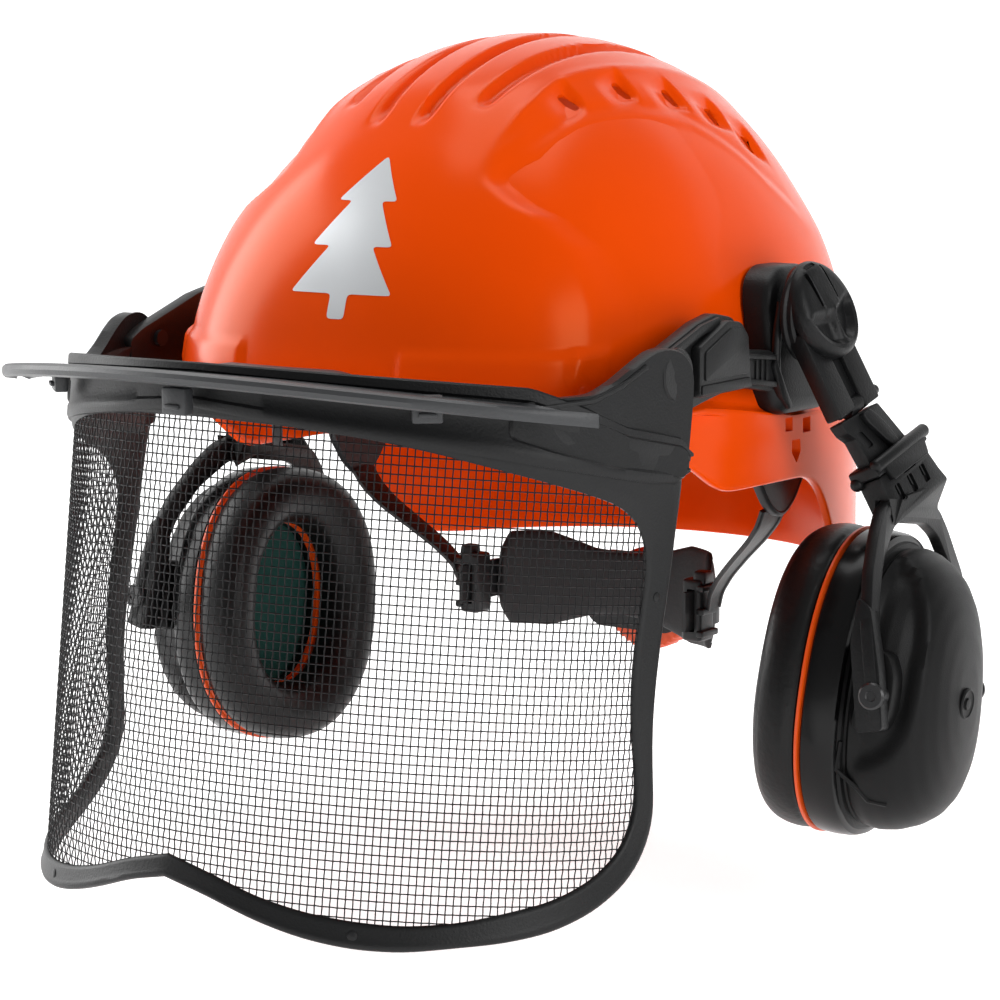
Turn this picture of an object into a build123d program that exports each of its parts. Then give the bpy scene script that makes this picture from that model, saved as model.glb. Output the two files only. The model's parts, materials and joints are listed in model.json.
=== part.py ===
"""Forestry hard hat: shell, harness, mesh face visor and two flip-out ear defenders.

Millimetres. +Z up, -Y forward, +X is the wearer's left. The origin is the middle of the head
opening at brim height. Left-hand pieces are modelled and mirrored for the right.
"""
import os
from math import cos, radians, sin

from build123d import *

# Driving dimensions -------------------------------------------------------------------
SHELL_HALF_WIDTH = 107.0      # dome, at the ledge
SHELL_HALF_LENGTH = 134.0
SHELL_CENTRE_Y = 2.0
SHELL_TOP_Z = 115.0
LEDGE_Z = -10.0               # where the dome meets the lower band
BAND_STEP = 3.5               # how far the lower band stands out from the dome
WALL = 3.0
SHELL_LOW_Z = -92.0
RIM_FRONT_Z, RIM_EAR_Z, RIM_NAPE_Z = -11.0, -41.0, -88.0
BRIM_DEPTH, BRIM_SIDE = 15.0, 5.0
BRIM_THICK = 3.0

VISOR_HALF_WIDTH = 119.0      # mid-surface of the visor, a half ellipse in plan
VISOR_REACH = 112.0
VISOR_CENTRE_Y = -78.0
VISOR_LEAN = 7.0              # degrees, foot forward
VISOR_TOP_Z, BAR_FOOT_Z = -2.5, -15.0
EAR_Y, EAR_Z = -89.0, 4.0     # the visor's pivot
EAR_RADIUS = 8.0
FRAME_WALL = 4.5
MESH_WALL = 1.0

PIN_R = 3.0
RUNNING = 0.06                # radial clearance of a running pin
GAP = 0.3                     # clearance between neighbours that don't touch

MOUNT_X = 117.0               # outer face of the ear-defender mount
KNOB = Vector(120.5, -2, 19)  # where the ear-defender arm swings
ARM_DIR = Vector(0.397, 0.244, -0.885).normalized()
ARM_TANGENT = Vector(0, 0.885, 0.244).normalized()
FLIP_AT, COLLAR_AT, ARM_END, SOCKET_END = 36.0, 60.0, 68.0, 75.0   # distances down the arm
KNOB_R = 15.0
CUP_PIVOT = Vector(162, 10, -115)
CUP_YAW = 7.0                 # degrees
CUP_HALF_WIDTH, CUP_HALF_HEIGHT, CUP_DEPTH = 44.0, 55.0, 40.0
CUP_INSET = 30.0              # rim plane to the cup's pivot axis
CUP_LEAN_BACK, CUP_LEAN_OUT, FORK_LEAN_OUT = 9.0, 4.5, -10.3
CUSHION_DEPTH = 18.0
FORK_HALF = 46.0              # cup centre to a fork leg's middle, fore and aft

PARTS = {}


def keep(name, shape):
    """Files a sub-part under its node name."""
    PARTS[name] = shape


def both(name, left):
    """Files a left-hand sub-part and its mirror image."""
    keep(name + "_left", left)
    lumps = [lump.mirror(Plane.YZ) for lump in left.solids()]
    keep(name + "_right", lumps[0] if len(lumps) == 1 else Compound(children=lumps))


def side_profile(points, half_width, rounding=0.0):
    """A prism of a (y, z) outline, from -half_width to +half_width across the object."""
    if rounding:
        line = FilletPolyline(*points, radius=rounding, close=True)
    else:
        line = Polyline(*points, close=True)
    face = Plane.YZ * make_face(line.edges())
    return extrude(face, half_width, both=True)


def block(x, y, z):
    """A box from three (low, high) pairs."""
    size = [b - a for a, b in (x, y, z)]
    middle = [(a + b) / 2 for a, b in (x, y, z)]
    return Pos(*middle) * Box(*size)


def rod(start, direction, length, radius):
    """A solid cylinder from a point along a direction."""
    return Plane(origin=start, z_dir=direction) * Cylinder(
        radius, length, align=(Align.CENTER, Align.CENTER, Align.MIN))


# Shell --------------------------------------------------------------------------------
def dome(offset, flare=BAND_STEP, low=SHELL_LOW_Z):
    """Solid helmet form, grown by offset, with the lower band stepped out by flare."""
    r = SHELL_HALF_WIDTH + offset
    top = SHELL_TOP_Z + offset
    height = top - LEDGE_Z
    with BuildSketch(Plane.XZ) as half:
        with BuildLine():
            EllipticalCenterArc((0, LEDGE_Z), r, height, start_angle=0, arc_size=90)
            Polyline((0, top), (0, low), (r + flare, low), (r + flare, LEDGE_Z - flare), (r, LEDGE_Z))
        make_face()
    solid = revolve(half.sketch, Axis.Z)
    stretch = (SHELL_HALF_LENGTH + offset) / r
    return Pos(0, SHELL_CENTRE_Y, 0) * scale(solid, by=(1, stretch, 1))


def below_rim():
    """Everything under the shell's lower edge, which rises over the ears."""
    rim = [(-180, RIM_FRONT_Z), (-92, RIM_FRONT_Z), (-50, RIM_EAR_Z), (40, RIM_EAR_Z),
           (76, -76), (100, RIM_NAPE_Z), (170, RIM_NAPE_Z)]
    line = FilletPolyline(*rim, radius=14)
    close = Polyline((170, RIM_NAPE_Z), (170, -140), (-180, -140), (-180, RIM_FRONT_Z))
    return extrude(Plane.YZ * make_face(line.edges() + close.edges()), 160, both=True)


def make_shell():
    wall = dome(0) - dome(-WALL, low=SHELL_LOW_Z - 1) - below_rim()
    plate = Pos(0, SHELL_CENTRE_Y, RIM_FRONT_Z) * extrude(
        Ellipse(SHELL_HALF_WIDTH + BAND_STEP + BRIM_SIDE, SHELL_HALF_LENGTH + BRIM_DEPTH), BRIM_THICK)
    plate &= block((-130, 130), (-160, -40), (-40, 0))
    return (wall + (plate - dome(-WALL, low=SHELL_LOW_Z - 1))).solid()


# Harness ------------------------------------------------------------------------------
BAND_X, BAND_FRONT_Y, BAND_END_Y = 79.0, -96.0, 8.0
BAND_HEIGHT, BAND_THICK = 26.0, 1.8
BAND_TILT = 8.0               # degrees, back lower
SWEATBAND_THICK = 4.0
STRAP_WIDTH, STRAP_THICK = 20.0, 1.2
STRAP_TOP = 78.0              # crossing height of the lowest crown strap
HARNESS_Y = 10.0
# angle from +Y, reach and clip height of each strap over the crown
STRAP_RUNS = {"crown_strap_cross": (90.0, 96.0, -34.0), "crown_strap_diagonal_a": (50.0, 102.0, -14.0),
              "crown_strap_diagonal_b": (130.0, 102.0, -14.0)}
NAPE_X, NAPE_Y, NAPE_DEEP, NAPE_Z = 53.0, 46.0, 22.0, -100.0
NAPE_BAND_HEIGHT = 15.0
PINION_R = 6.0
KNOB_DIAL_R = 20.0


def u_wall(half_width, reach, thickness, height, legs):
    """A U in plan open to +Y: half ellipse at -Y plus straight legs, thickness measured inward."""
    def outline(inset):
        w, r = half_width - inset, reach - inset
        return Ellipse(w, r) & Pos(0, -r) * Rectangle(4 * w, 2 * r)

    ring = outline(0) - outline(thickness)
    for sign in (-1, 1):
        middle = sign * (half_width - thickness / 2)
        ring += Pos(middle, legs / 2) * Rectangle(thickness, legs)
    return extrude(ring, height / 2, both=True)


def make_headband():
    reach = -BAND_FRONT_Y - 12
    tilt = Pos(0, -12, -8) * Rot(-BAND_TILT, 0, 0)
    band = tilt * u_wall(BAND_X, reach, BAND_THICK, BAND_HEIGHT, BAND_END_Y + 12)
    keep("headband", band.solid())
    inner = BAND_X - BAND_THICK - GAP
    pad = u_wall(inner, reach - BAND_THICK - GAP, SWEATBAND_THICK, BAND_HEIGHT + 4, 1)
    pad &= block((-90, 90), (-120, -20), (-40, 40))
    keep("sweatband", (tilt * pad).solid())


def make_harness():
    cavity = dome(-WALL - GAP, low=SHELL_LOW_Z - 1)
    clips = []
    for step, (name, (angle, reach, foot)) in enumerate(STRAP_RUNS.items()):
        height = STRAP_TOP + step * (STRAP_THICK + 3 * GAP) - foot
        outer, inner = Ellipse(reach, height), Ellipse(reach - STRAP_THICK, height - STRAP_THICK)
        arch = (outer - inner) & Pos(0, height) * Rectangle(4 * reach, 2 * height)
        strap = extrude(Plane.XZ * arch, STRAP_WIDTH / 2, both=True)
        keep(name, (Pos(0, HARNESS_Y, foot) * Rot(0, 0, angle - 90) * strap).solid())
        tab = Pos(0, 0, -13) * Rot(90, 0, 0) * Cylinder(11, 4)
        tab &= block((-14, 14), (-5, 5), (-26, -10))
        clip = block((-11, 11), (-2, 2), (-14, -GAP)) + tab
        for turn in (angle, angle + 180):
            placed = Pos(0, HARNESS_Y, foot) * Rot(0, 0, turn) * Pos(0, reach + 1.2, 0) * clip
            clips.append((placed & cavity).solid())
    keep("harness_clips", Compound(children=clips))
    link = block((BAND_X + 0.2, 93.4), (-6, 4), (-21, -17))
    keep("headband_links", Compound(children=[link.solid(), link.mirror(Plane.YZ).solid()]))


def make_nape():
    legs = 22.0
    band = u_wall(NAPE_X, NAPE_DEEP, 1.6, NAPE_BAND_HEIGHT, legs)
    turn = Pos(0, NAPE_Y, NAPE_Z) * Rot(0, 0, 180)
    keep("nape_band", (turn * band).solid())
    lobes = [(-42, -18), (-15, -13), (15, -13), (42, -18), (56, -16), (56, 14), (42, 18),
             (15, 13), (-15, 13), (-42, 18), (-56, 14), (-56, -16)]
    outline = FilletPolyline(*lobes, radius=9, close=True)
    prism = extrude(Plane.XZ * make_face(outline.edges()), 120, both=True)
    pad = u_wall(NAPE_X - 1.6 - GAP, NAPE_DEEP - 1.6 - GAP, 5.0, 60, 0.5) & prism
    keep("nape_pad", (turn * pad).solid())

    back = NAPE_Y + NAPE_DEEP
    hub = Vector(0, back + 0.5, NAPE_Z - 8)
    box = Pos(0, back + 4.8, NAPE_Z - 4) * Box(46, 8, 30)
    box = fillet(box.edges().filter_by(Axis.Y), 9)
    box -= rod(hub + Vector(0, 1.6, 0), (0, 1, 0), 12, PINION_R + 1.5)
    keep("ratchet_housing", box.solid())
    teeth = [rod(hub + Vector(5.0 * sin(radians(a)), 2, 5.0 * cos(radians(a))), (0, 1, 0), 5, 1.2)
             for a in range(0, 360, 45)]
    pinion = rod(hub + Vector(0, 2, 0), (0, 1, 0), 5, 5.0)
    for tooth in teeth:
        pinion += tooth
    keep("ratchet_pinion", (pinion + rod(hub + Vector(0, 7, 0), (0, 1, 0), 6, 3.4)).solid())
    dial = rod(hub + Vector(0, 9, 0), (0, 1, 0), 12, KNOB_DIAL_R)
    for a in range(0, 360, 30):
        at = hub + Vector((KNOB_DIAL_R + 1.5) * sin(radians(a)), 8, (KNOB_DIAL_R + 1.5) * cos(radians(a)))
        dial -= rod(at, (0, 1, 0), 14, 3.2)
    dial -= rod(hub + Vector(0, 7, 0), (0, 1, 0), 6, 3.4 + RUNNING)
    keep("ratchet_dial", dial.solid())

    loop = block((-4.5, 4.5), (-5, 5), (-12, 12)) - block((-1.6, 1.6), (-6, 6), (-8.2, 8.2))
    both("nape_loop", (Pos(NAPE_X - 0.8, NAPE_Y - 12, NAPE_Z) * loop).solid())
    low, high = Vector(NAPE_X + 4.5, NAPE_Y - 13, NAPE_Z + 18), Vector(94, HARNESS_Y + 3, -64)
    strap = Plane(origin=low, x_dir=(0, 1, 0), z_dir=high - low) * Box(
        12, 1.6, (high - low).length, align=(Align.CENTER, Align.CENTER, Align.MIN))
    both("nape_strap", strap.solid())


# Visor --------------------------------------------------------------------------------
# (y, z) outlines of the visor seen from the side: its edge, the mesh and the open window
SIDE_TOP_Y, SIDE_LOW_Y = -80.0, -101.0
OUTLINE = [(SIDE_TOP_Y, VISOR_TOP_Z), (SIDE_TOP_Y, -30), (SIDE_LOW_Y, -58), (SIDE_LOW_Y, -148), (-114, -160),
           (-140, -162), (-186, -177), (-206, -171), (-250, -171), (-250, VISOR_TOP_Z)]
MESH_EDGE = [(SIDE_TOP_Y - 3, BAR_FOOT_Z - GAP), (SIDE_TOP_Y - 3, -32), (SIDE_LOW_Y - 3, -59), (SIDE_LOW_Y - 3, -146),
             (-116, -156), (-140, -158), (-186, -173), (-206, -167), (-250, -167), (-250, BAR_FOOT_Z - GAP)]
WINDOW = [(-130, -36), (-108, -68), (-108, -142), (-119, -151), (-140, -153), (-186, -168), (-206, -162),
          (-260, -162), (-260, -21), (-165, -21)]
WALL_LOW, WALL_HIGH = -215.0, 40.0


def visor_wall(outer, thickness):
    """The visor's curved, leaning wall, outer measured out from its mid-surface."""
    wall = u_wall(VISOR_HALF_WIDTH + outer, VISOR_REACH + outer, thickness, WALL_HIGH - WALL_LOW, 20.0)
    placed = Pos(0, VISOR_CENTRE_Y - EAR_Y, (WALL_HIGH + WALL_LOW) / 2 - EAR_Z) * wall
    return Pos(0, EAR_Y, EAR_Z) * Rot(-VISOR_LEAN, 0, 0) * placed


def make_visor():
    full = visor_wall(FRAME_WALL / 2, FRAME_WALL)
    outline = side_profile(OUTLINE, 200, 5)
    bar_zone = block((-200, 200), (-300, 0), (BAR_FOOT_Z, VISOR_TOP_Z))
    keep("visor_top_bar", (full & outline & bar_zone).solid())
    below = block((-200, 200), (-300, 0), (-250, BAR_FOOT_Z - 0.1))
    mesh_zone = side_profile(MESH_EDGE, 200, 4)
    frame = (full & outline & below) - side_profile(WINDOW, 201, 4)
    slot = visor_wall(MESH_WALL / 2 + 0.1, MESH_WALL + 0.2) & side_profile(
        [(y + (0.2 if y > -250 else 0), z - (0.2 if z < -60 else -0.2)) for y, z in MESH_EDGE], 200, 4)
    keep("visor_edge_frame", (frame - slot).solid())
    keep("visor_mesh", (visor_wall(MESH_WALL / 2, MESH_WALL) & mesh_zone).solid())

    ear_x = VISOR_HALF_WIDTH - FRAME_WALL / 2
    ear = side_profile([(EAR_Y + 9, VISOR_TOP_Z + 0.1), (EAR_Y + 7, EAR_Z), (EAR_Y - 7, EAR_Z),
                        (EAR_Y - 24, VISOR_TOP_Z + 0.1)], 200)
    ear += Pos(0, EAR_Y, EAR_Z) * Rot(0, 90, 0) * Cylinder(EAR_RADIUS, 400)
    ear -= Pos(0, EAR_Y, EAR_Z) * Rot(0, 90, 0) * Cylinder(PIN_R + RUNNING, 400)
    ear &= block((ear_x - 0.5, ear_x + FRAME_WALL), (-150, -70), (VISOR_TOP_Z + 0.1, 30))
    both("visor_ear", (ear & block((ear_x, 200), (-150, 0), (-20, 40))).solid())

    peak_plan = Pos(0, VISOR_CENTRE_Y) * (Ellipse(143, 140) - Ellipse(104, 72))
    peak_plan &= Pos(0, -190) * Rectangle(250, 90)
    peak = Pos(0, 0, VISOR_TOP_Z + 0.2) * extrude(peak_plan, 2.4)
    keep("sun_peak", peak.solid())
    clips = []
    for angle in (-40, 0, 40):
        spot = Rot(0, 0, angle) * Pos(0, -(VISOR_REACH + 12), 0) * Box(12, 5, 7)
        clips.append((Pos(0, VISOR_CENTRE_Y, VISOR_TOP_Z - 3.6) * spot).solid())
    keep("peak_clips", Compound(children=clips))


# Ear defenders ------------------------------------------------------------------------
def make_mounts():
    around = dome(GAP, BAND_STEP)
    foot = [(-15, -4), (-9, -17), (22, -17), (25, 6), (21, 30), (12, 36), (-6, 35), (-15, 26)]
    outline = FilletPolyline(*foot, radius=4, close=True)
    body = extrude(Plane.YZ * make_face(outline.edges()), MOUNT_X)
    body = body - around - block((0, 90), (-60, 60), (-60, 60))
    both("muff_mount", body.solid())
    both("swing_pin", rod(Vector(MOUNT_X, KNOB.Y, KNOB.Z), (1, 0, 0), 7, 4.0))

    plate = [(-15.4, -6), (-44, -8), (-66, -7), (-81, -7), (-90, -1), (-98, 1), (-98, 5), (-64, 20), (-45, 18),
             (-43, 5), (-15.4, 5)]
    inner, outer = 108.4, VISOR_HALF_WIDTH - FRAME_WALL / 2 - 2.2
    carrier = extrude(Pos(inner, 0, 0) * (Plane.YZ * make_face(Polyline(*plate, close=True).edges())), outer - inner)
    carrier -= rod(Vector(100, EAR_Y, EAR_Z), (1, 0, 0), 40, PIN_R + RUNNING)
    both("visor_carrier", carrier.solid())
    pin = rod(Vector(inner, EAR_Y, EAR_Z), (1, 0, 0), 13.2, PIN_R)
    head = rod(Vector(VISOR_HALF_WIDTH + FRAME_WALL / 2 + 0.2, EAR_Y, EAR_Z), (1, 0, 0), 1.6, 5.0)
    both("visor_pin", (pin + head).solid())


def along_arm(distance, outward=0.0, back=0.0):
    """A point on the arm's centre line, shifted outward and back in the arm's own frame."""
    normal = ARM_TANGENT.cross(ARM_DIR) * -1
    return KNOB + ARM_DIR * distance + normal * outward + ARM_TANGENT * back


def arm_block(start, end, back, outward):
    """A box on the arm: from start to end down it, with (low, high) pairs back and outward."""
    plane = Plane(origin=along_arm(start), x_dir=ARM_TANGENT, z_dir=ARM_DIR)
    sizes = (back[1] - back[0], outward[1] - outward[0], end - start)
    side = plane.y_dir.dot(ARM_TANGENT.cross(ARM_DIR) * -1)
    middle = (outward[0] + outward[1]) / 2 * side
    return plane * Pos((back[0] + back[1]) / 2, middle, (end - start) / 2) * Box(*sizes)


def make_arms():
    hub = rod(Vector(MOUNT_X + 0.5, KNOB.Y, KNOB.Z), (1, 0, 0), 6.0, KNOB_R - 0.5)
    rails = [arm_block(8, FLIP_AT + 5, (a, a + 4.5), (-3, 3)) for a in (-10, 5.5)]
    web = arm_block(8, FLIP_AT - 8, (-6, 6), (-2.5, 1.5))
    upper = hub + rails[0] + rails[1] + web
    upper -= rod(Vector(MOUNT_X - 1, KNOB.Y, KNOB.Z), (1, 0, 0), 10, 4.0 + RUNNING)
    upper -= rod(along_arm(FLIP_AT, back=-12), ARM_TANGENT, 24, 1.6 + RUNNING)
    upper -= block((100, MOUNT_X + 0.5), (-60, 60), (-60, 60))
    both("upper_arm", upper.solid())
    cap = rod(Vector(MOUNT_X + 7.4, KNOB.Y, KNOB.Z), (1, 0, 0), 8.0, KNOB_R)
    cap = fillet(cap.edges().sort_by(Axis.X)[-1], 4)
    cap -= rail_space()
    both("pivot_cap", cap.solid())
    both("flip_pin", rod(along_arm(FLIP_AT, back=-10), ARM_TANGENT, 20, 1.6))
    lower = arm_block(FLIP_AT - 2, ARM_END, (-5.2, 5.2), (-2, 2))
    lower += rod(along_arm(FLIP_AT, back=-5.2), ARM_TANGENT, 10.4, 4.0)
    lower -= rod(along_arm(FLIP_AT, back=-12), ARM_TANGENT, 24, 1.6 + RUNNING)
    lower += arm_block(FLIP_AT + 8, FLIP_AT + 17, (-1.2, 1.2), (2, 4.5))
    both("lower_arm", lower.solid())


def rail_space():
    """Room for the rails under the pivot cap."""
    return arm_block(6, FLIP_AT + 6, (-10.5, 10.5), (-6, 3.4))


def cup_frame(extra_back=0.0, extra_out=0.0):
    """The cup's own frame: x outward, y back, z up its long axis, origin on its pivot axis."""
    return Pos(CUP_PIVOT) * Rot(0, 0, CUP_YAW) * Rot(-CUP_LEAN_BACK - extra_back, 0, 0) * Rot(0, extra_out, 0)


def oval(grow, low, high):
    """An oval slab in the cup's frame, from low to high along its outward axis."""
    face = Plane.YZ * Ellipse(CUP_HALF_WIDTH + grow, CUP_HALF_HEIGHT + grow)
    return Pos(low, 0, 0) * extrude(face, high - low)


def make_forks():
    lean = cup_frame(extra_out=FORK_LEAN_OUT)
    far, near = FORK_HALF + 3.5, FORK_HALF - 3.5
    legs = [(-far, -8), (-near, -8), (-near, 20), (-39, 34), (-31, 47), (-17, 60.5), (15, 60.5), (30, 47),
            (39, 34), (near, 20), (near, -8), (far, -8), (far, 24), (45, 44), (28, 64), (14, 74), (-18, 74),
            (-25, 66), (-38, 50), (-far, 26)]
    fork = extrude(Plane.YZ * make_face(Polyline(*legs, close=True).edges()), 2.2, both=True)
    for side in (-1, 1):
        fork += rod(Vector(0, side * near, 0), (0, side, 0), far - near, 7)
    fork -= rod(Vector(0, -100, 0), (0, 1, 0), 200, PIN_R + RUNNING)
    socket = arm_block(COLLAR_AT - 10, SOCKET_END, (-5.5, 5.5), (-2.3, 2.3))
    fork = (lean * fork) - socket
    both("fork", fork.solid())
    sleeve = arm_block(COLLAR_AT + 2, SOCKET_END + 5, (-9, 9), (-5, 5)) - socket - fork
    both("height_slider", max(sleeve.solids(), key=lambda lump: lump.volume))
    collar = arm_block(COLLAR_AT - 2, COLLAR_AT + 1.8, (-12, 12), (-6, 6))
    collar -= arm_block(COLLAR_AT - 10, COLLAR_AT + 4, (-5.5, 5.5), (-2.3, 5.0))
    both("slider_collar", collar.solid())


def make_cups():
    place = cup_frame(extra_out=CUP_LEAN_OUT) * Pos(-CUP_INSET, 0, 0)
    bowl = oval(-2, 6, 12)
    with BuildPart() as body:
        with BuildSketch(Plane.YZ):
            Ellipse(CUP_HALF_WIDTH - 1, CUP_HALF_HEIGHT - 1)
        with BuildSketch(Plane.YZ.offset(24)):
            Ellipse(CUP_HALF_WIDTH - 5, CUP_HALF_HEIGHT - 6)
        with BuildSketch(Plane.YZ.offset(CUP_DEPTH)):
            Ellipse(CUP_HALF_WIDTH - 20, CUP_HALF_HEIGHT - 22)
        loft()
    outer = Pos(6, 0, 0) * body.part
    cavity = Pos(5.9, 0, 0) * scale(body.part, by=(0.93, 0.93, 0.95))
    bosses = rod(Vector(CUP_INSET, -FORK_HALF + 5.4, 0), (0, 1, 0), 2 * FORK_HALF - 10.8, 6)
    both("cup_shell", (place * (outer + bosses - cavity)).solid())
    opening = Pos(-40, 0, 0) * extrude(Plane.YZ * Ellipse(22, 32), 80)
    both("cup_plate", (place * (oval(-1, 2.6, 5.8) - opening)).solid())
    both("trim_ring", (place * (oval(0.6, 0.2, 2.4) - opening)).solid())
    cushion = fillet((oval(-1, -CUSHION_DEPTH, 0)).edges().sort_by(Axis.X)[0], 9) - opening
    both("ear_cushion", (place * cushion).solid())
    liner = extrude(Plane.YZ * Ellipse(30, 41), 6)
    both("foam_liner", (place * (Pos(6.2, 0, 0) * liner)).solid())
    boss_end = FORK_HALF - 5.4
    pins = [rod(Vector(CUP_INSET, side * (boss_end - 4), 0), (0, side, 0), 12.4, PIN_R) for side in (-1, 1)]
    both("cup_pins", Compound(children=[(place * pin).solid() for pin in pins]))


def main():
    os.makedirs("parts", exist_ok=True)
    keep("shell", make_shell())
    make_headband()
    make_harness()
    make_nape()
    make_visor()
    make_mounts()
    make_arms()
    make_forks()
    make_cups()
    for name, shape in PARTS.items():
        export_step(shape, f"parts/{name}.step")


main()
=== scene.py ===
"""Looks of the forestry hard hat: moulded shell, woven visor, harness and ear defenders.

Every piece is built in millimetres in the part's frame, then scaled to metres.
"""
import bmesh
import bpy
import json
import math
import numpy as np
from mathutils import Matrix, Vector

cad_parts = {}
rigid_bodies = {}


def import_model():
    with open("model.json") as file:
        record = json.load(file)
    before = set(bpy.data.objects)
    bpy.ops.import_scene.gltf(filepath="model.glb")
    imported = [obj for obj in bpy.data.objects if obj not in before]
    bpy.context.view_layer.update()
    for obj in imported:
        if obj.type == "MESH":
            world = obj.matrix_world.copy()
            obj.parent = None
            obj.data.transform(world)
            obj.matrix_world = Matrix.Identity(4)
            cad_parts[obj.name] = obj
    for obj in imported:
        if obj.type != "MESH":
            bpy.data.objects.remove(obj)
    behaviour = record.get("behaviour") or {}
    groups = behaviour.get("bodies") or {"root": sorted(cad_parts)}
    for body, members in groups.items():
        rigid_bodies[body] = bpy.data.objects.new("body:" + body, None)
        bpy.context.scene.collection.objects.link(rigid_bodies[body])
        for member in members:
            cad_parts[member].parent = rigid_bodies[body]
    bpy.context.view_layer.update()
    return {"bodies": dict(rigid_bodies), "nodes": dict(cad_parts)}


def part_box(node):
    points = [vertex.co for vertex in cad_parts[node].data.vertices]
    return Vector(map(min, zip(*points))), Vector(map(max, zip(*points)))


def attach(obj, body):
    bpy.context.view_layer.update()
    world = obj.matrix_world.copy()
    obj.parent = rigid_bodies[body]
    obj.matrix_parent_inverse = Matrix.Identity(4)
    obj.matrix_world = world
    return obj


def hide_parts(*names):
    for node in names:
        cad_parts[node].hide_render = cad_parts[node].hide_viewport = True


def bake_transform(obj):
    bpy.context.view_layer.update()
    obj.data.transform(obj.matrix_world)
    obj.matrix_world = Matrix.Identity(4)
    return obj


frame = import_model()
MM = 0.001
SIDES = (("left", 1.0), ("right", -1.0))


# Materials -----------------------------------------------------------------------------
CLOUD_SCALE, CLOUD_DETAIL, GLOSS_SPREAD = 38.0, 4.0, 0.15
COAT_ROUGH, BUMP_DEPTH, WEAVE_BUMP = 0.06, 0.0003, 0.35


def material(name, colour, rough, coat=0.0, grain=0.0, grain_size=900.0, metal=0.0, spread=0.06,
             sheen=0.0, weave=0.0, shine=0.5, glint=(1.0, 1.0, 1.0)):
    """A procedural finish: colour and gloss vary a little, with a fine surface grain."""
    mat = bpy.data.materials.new(name)
    mat.use_nodes = True
    nodes, links = mat.node_tree.nodes, mat.node_tree.links
    bsdf = nodes["Principled BSDF"]
    place = nodes.new("ShaderNodeTexCoord")
    cloud = nodes.new("ShaderNodeTexNoise")
    cloud.inputs["Scale"].default_value = CLOUD_SCALE
    cloud.inputs["Detail"].default_value = CLOUD_DETAIL
    links.new(place.outputs["Object"], cloud.inputs["Vector"])
    tint = nodes.new("ShaderNodeMix")
    tint.data_type = "RGBA"
    tint.inputs["A"].default_value = [c * (1 - spread) for c in colour] + [1.0]
    tint.inputs["B"].default_value = [min(1.0, c * (1 + spread)) for c in colour] + [1.0]
    links.new(cloud.outputs["Fac"], tint.inputs["Factor"])
    links.new(tint.outputs["Result"], bsdf.inputs["Base Color"])
    gloss = nodes.new("ShaderNodeMapRange")
    gloss.inputs["To Min"].default_value = rough * (1 - GLOSS_SPREAD)
    gloss.inputs["To Max"].default_value = min(1.0, rough * (1 + GLOSS_SPREAD))
    links.new(cloud.outputs["Fac"], gloss.inputs["Value"])
    links.new(gloss.outputs["Result"], bsdf.inputs["Roughness"])
    bsdf.inputs["Metallic"].default_value = metal
    bsdf.inputs["Specular IOR Level"].default_value = shine
    bsdf.inputs["Specular Tint"].default_value = (*glint, 1.0)
    bsdf.inputs["Coat Weight"].default_value = coat
    bsdf.inputs["Coat Roughness"].default_value = COAT_ROUGH
    bsdf.inputs["Sheen Weight"].default_value = sheen
    height = None
    if grain:
        speck = nodes.new("ShaderNodeTexNoise")
        speck.inputs["Scale"].default_value = grain_size
        speck.inputs["Detail"].default_value = 2.0
        links.new(place.outputs["Object"], speck.inputs["Vector"])
        height = speck.outputs["Fac"]
    if weave:
        threads = nodes.new("ShaderNodeTexWave")
        threads.bands_direction = "Z"
        threads.inputs["Scale"].default_value = weave
        threads.inputs["Distortion"].default_value = 1.2
        threads.inputs["Detail Scale"].default_value = 4.0
        links.new(place.outputs["Object"], threads.inputs["Vector"])
        height = threads.outputs["Fac"]
    if height:
        bump = nodes.new("ShaderNodeBump")
        bump.inputs["Strength"].default_value = max(grain, WEAVE_BUMP if weave else 0.0)
        bump.inputs["Distance"].default_value = BUMP_DEPTH
        links.new(height, bump.inputs["Height"])
        links.new(bump.outputs["Normal"], bsdf.inputs["Normal"])
    return mat


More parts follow.
